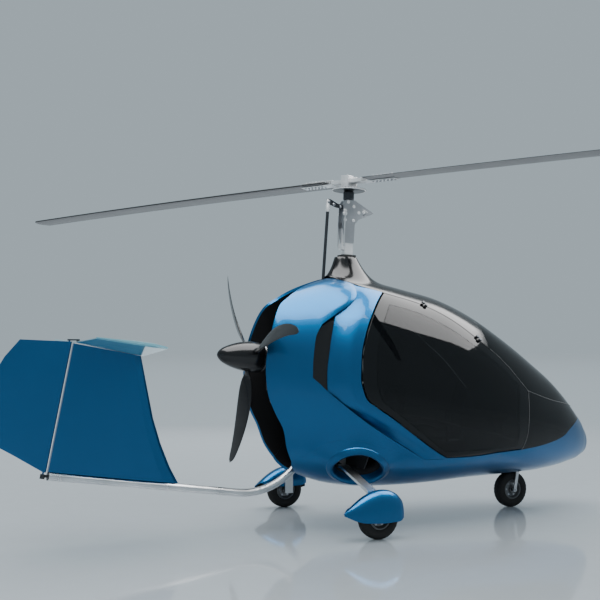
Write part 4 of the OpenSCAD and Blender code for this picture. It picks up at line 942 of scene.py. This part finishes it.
for name, side in SIDES:
    s = shape * [1, side, 1]
    s[..., 1] += side * HALF_TRACK
    n_out = unit(np.cross(np.gradient(s, axis=0), np.gradient(s, axis=1)))
    n_out *= np.sign(np.sum(n_out * (s - [-0.03, side * HALF_TRACK, 0.2]), -1, keepdims=True))
    inner = s - PANT_WALL * n_out
    rows, cols = s.shape[:2]
    k = rows * cols
    i, j = np.meshgrid(np.arange(rows - 1), np.arange(cols - 1), indexing="ij")
    a0 = (i * cols + j).ravel()
    f = np.stack([a0, a0 + 1, a0 + cols + 1, a0 + cols], -1)
    edge = np.concatenate([np.arange(cols), np.arange(1, rows) * cols + cols - 1,
                           (rows - 1) * cols + np.arange(cols - 2, -1, -1),
                           np.arange(rows - 2, 0, -1) * cols])
    nxt = np.roll(edge, -1)
    faces = np.concatenate([f, k + f[:, ::-1], np.stack([edge, nxt, k + nxt, k + edge], -1)])
    which = np.zeros(len(faces), int)
    which[len(f):2 * len(f)] = 1
    outward(piece("pant_skin_" + name, np.concatenate([s.reshape(-1, 3), inner.reshape(-1, 3)]), faces,
                  [BLUE, LINING], "airframe", ["wheel_pants"], which, angle=50))

# ---------------------------------------------------------------- leg sockets, intakes
# Shares of the opening's size, and metres out from the skin
LIP = [(1.22, -0.005), (1.16, 0.000), (1.10, 0.005), (1.05, 0.009), (1.005, 0.010), (0.965, 0.004),
       (0.94, -0.010), (0.925, -0.03), (0.90, -0.06), (0.87, -0.09), (0.82, -0.13)]
PAINTED_ROWS, LIP_WALL = 8, 0.003
around = np.linspace(0, 2 * np.pi, 97)[:-1]
for name, side in SIDES:
    rings = []
    for ratio, lift in LIP:
        q = np.stack([SOCKET[0] + SOCKET[2] * ratio * np.cos(around),
                      side * (SOCKET[1] + SOCKET[3] * ratio * np.sin(around))], -1)
        full = np.stack([q[:, 0], q[:, 1] % 360], -1)
        rings.append(skin(q) + (lift + eyelid(full))[:, None] * normal(q))
    loop = np.array(rings)
    k, n = loop.shape[:2]
    faces = [(r * n + c, r * n + (c + 1) % n, (r + 1) * n + (c + 1) % n, (r + 1) * n + c)
             for r in range(k - 1) for c in range(n)]
    which = [int(r >= PAINTED_ROWS) for r in range(k - 1) for c in range(n)]
    o = piece("socket_lip_" + name, loop.reshape(-1, 3), faces, [BLUE, LINING], "airframe", (),
              which, angle=60)
    shell = o.modifiers.new("wall", "SOLIDIFY")
    shell.thickness = LIP_WALL
    shell.offset = -1

# Intake ducts, and a ledge in each
DUCT_WALL, LEDGE_WALL, LEDGE_DEPTH = 0.003, 0.004, 0.020
rows, cols = np.linspace(104, 50, 40)[:, None], np.linspace(-352, -88, 30)[None]
duct = np.stack(np.broadcast_arrays(cols, rows), -1)
dip = 0.05 + 0.03 * np.cos((cols + 220) / 132 * np.pi / 2) * np.cos((rows - 74) / 24 * np.pi / 2)
ledge = np.stack(np.broadcast_arrays(np.linspace(-292, -190, 14)[None], np.linspace(101.0, 97.2, 5)[:, None]),
                 -1)
for (name, q), (_, shelf) in zip(both(duct), both(ledge)):
    panel("intake_duct_" + name, q, DUCT_WALL, (0, 0, 0, 0), [BLACK_GLOSS, LINING], "airframe",
          [], relief=-dip, bevel=0)
    panel("intake_ledge_" + name, shelf, LEDGE_WALL, (0, 0, 0, 0), [BARE], "airframe", [],
          relief=np.full(shelf.shape[:2], -LEDGE_DEPTH), bevel=0)

# ---------------------------------------------------------------- doors' inside bars
# Rows and columns of the door's grid, from the bar's rear end to its front end
BAR_ROWS, BAR_COLS, BAR_POINTS = (28, 13.4), (3.84, 71.04), 15
BAR_DEPTH, BAR_RADIUS = 0.046, 0.011
bar = door[tuple(np.round(np.linspace(*ends, BAR_POINTS)).astype(int) for ends in (BAR_ROWS, BAR_COLS))]
for name, line in both(bar):
    pipe("door_bar_" + name, skin(line) - BAR_DEPTH * normal(line), BAR_RADIUS, WHITE_METAL,
         "door_" + name, per=4)

# Pale seals along the windscreen's foot and the doors' front edges
seal = smooth(WINDSCREEN_FOOT, PER)[::-1]
seal = np.concatenate([mirrored(seal[::-1]), seal[1:]])[::4]
pipe("windscreen_seal", skin(seal) + 0.0006 * normal(seal), 0.0022, SEAL, "airframe", per=2,
     sides=10)
seal = np.concatenate([roof_edge(np.linspace(1260, 1618, 12)), along(DOOR_FRONT, np.linspace(1, 0, 13))])
for name, line in both(seal):
    pipe("door_seal_" + name, skin(line) + 0.0004 * normal(line), 0.0018, SEAL, "airframe", per=3,
         sides=10)


# ---------------------------------------------------------------- seats
CROWN, PULL = 0.22, 0.05
CHANNEL_WIDTH, RIB_WIDTH, SEWN_DEPTH = 0.028, 0.03, 0.10


def cushion(name, place, size, channels, ribs):
    """A crowned closed pad on local half sizes; channels across X and ribs along it are sewn in on top."""
    bm = bmesh.new()
    bmesh.ops.create_cube(bm, size=2)
    bmesh.ops.subdivide_edges(bm, edges=bm.edges, cuts=30, use_grid_fill=True)
    for v in bm.verts:
        x, y, z = v.co
        norm = (abs(x) ** 5 + abs(y) ** 5 + abs(z) ** 2.6) ** (1 / 4.2)
        x, y, z = (c / norm for c in (x, y, z))
        x *= 1 - PULL * (1 - y * y) * (1 - z * z)
        y *= 1 - PULL * (1 - x * x) * (1 - z * z)
        z *= 0.72 + CROWN * (1 - x * x) * (1 - y * y) * 1.25
        groove = (sum(math.exp(-((x - c) / CHANNEL_WIDTH) ** 2) for c in channels)
                  + sum(math.exp(-((y - c) / RIB_WIDTH) ** 2) for c in ribs))
        if z > 0:
            z -= SEWN_DEPTH * min(1.3, groove) * (1 - x**8) * (1 - y**8)
        v.co = (x * size[0], y * size[1], z * size[2])
    mesh = bpy.data.meshes.new(name)
    bm.to_mesh(mesh)
    bm.free()
    mesh.materials.append(SEAT)
    mesh.transform(place)
    mesh.shade_smooth()
    o = bpy.data.objects.new(name, mesh)
    bpy.context.scene.collection.objects.link(o)
    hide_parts("seats")
    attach(o, "airframe")


SEAT_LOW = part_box("seats")[0][2]
RIBS = (-0.62, 0.62)
PAN_LINE = ((70, 2), (535, 2), (550, 60), (535, 84), (110, 66), (62, 120), (30, 60))
for name, side in SIDES:
    at = moved(0.47, side * 0.204, SEAT_LOW)
    cushion("seat_base_" + name, at @ moved(0.33, 0, 0.125) @ spun(-5, "Y"), (0.215, 0.160, 0.082),
            (-0.34, 0.3), RIBS)
    cushion("seat_back_" + name, at @ moved(-0.008, 0, 0.43) @ spun(-90 + 13.6, "Y") @ spun(180, "Z"),
            (0.245, 0.155, 0.044), (-0.5, 0, 0.5), RIBS)
    rings = [[at @ Vector((x / 1000, y, z / 1000)) for x, z in PAN_LINE]
             for y in (-0.166, -0.16, 0.16, 0.166)]
    lofted("seat_pan_" + name, rings, [DARK], "airframe", ["seats"], bevel=0.006)


# ---------------------------------------------------------------- floor and light
def area(name, where, look_at, size, power):
    d = bpy.data.lights.new(name, "AREA")
    d.shape = "RECTANGLE"
    d.size, d.size_y = size
    d.energy = power
    o = bpy.data.objects.new(name, d)
    o.location = where
    o.rotation_euler = (Vector(look_at) - Vector(where)).to_track_quat("-Z", "Y").to_euler()
    bpy.context.scene.collection.objects.link(o)
    return o


floor_mesh = bpy.data.meshes.new("floor")
bm = bmesh.new()
bmesh.ops.create_grid(bm, x_segments=1, y_segments=1, size=400)
bm.to_mesh(floor_mesh)
bm.free()
floor_mesh.materials.append(plain("studio_floor", (0.60, 0.64, 0.67), 0.07, grain=20, depth=0.00005,
                                  spread_by=0.02, vary=0.01))
floor = bpy.data.objects.new("floor", floor_mesh)
bpy.context.scene.collection.objects.link(floor)

world = bpy.data.worlds.new("studio")
bpy.context.scene.world = world
world.use_nodes = True
background = world.node_tree.nodes["Background"]
background.inputs["Color"].default_value = (0.50, 0.60, 0.66, 1)
background.inputs["Strength"].default_value = 0.75
sky = bpy.data.lights.new("sky", "SUN")
sky.energy = 2.2
sky.angle = math.radians(70)
sky_light = bpy.data.objects.new("sky", sky)
sky_light.rotation_euler = (math.radians(-14), math.radians(8), 0)
sky_light.visible_glossy = False
bpy.context.scene.collection.objects.link(sky_light)
area("overhead_panel", (2.4, -0.95, 6.0), (2.4, -0.95, 0), (12, 6.1), 1900).visible_diffuse = False
area("side", (-6.0, -9.0, 4.0), (0, 0, 1), (4, 3), 200).visible_glossy = False
area("back", (3.0, 8.0, 4.5), (0, 0, 1), (6, 3), 240).visible_glossy = False
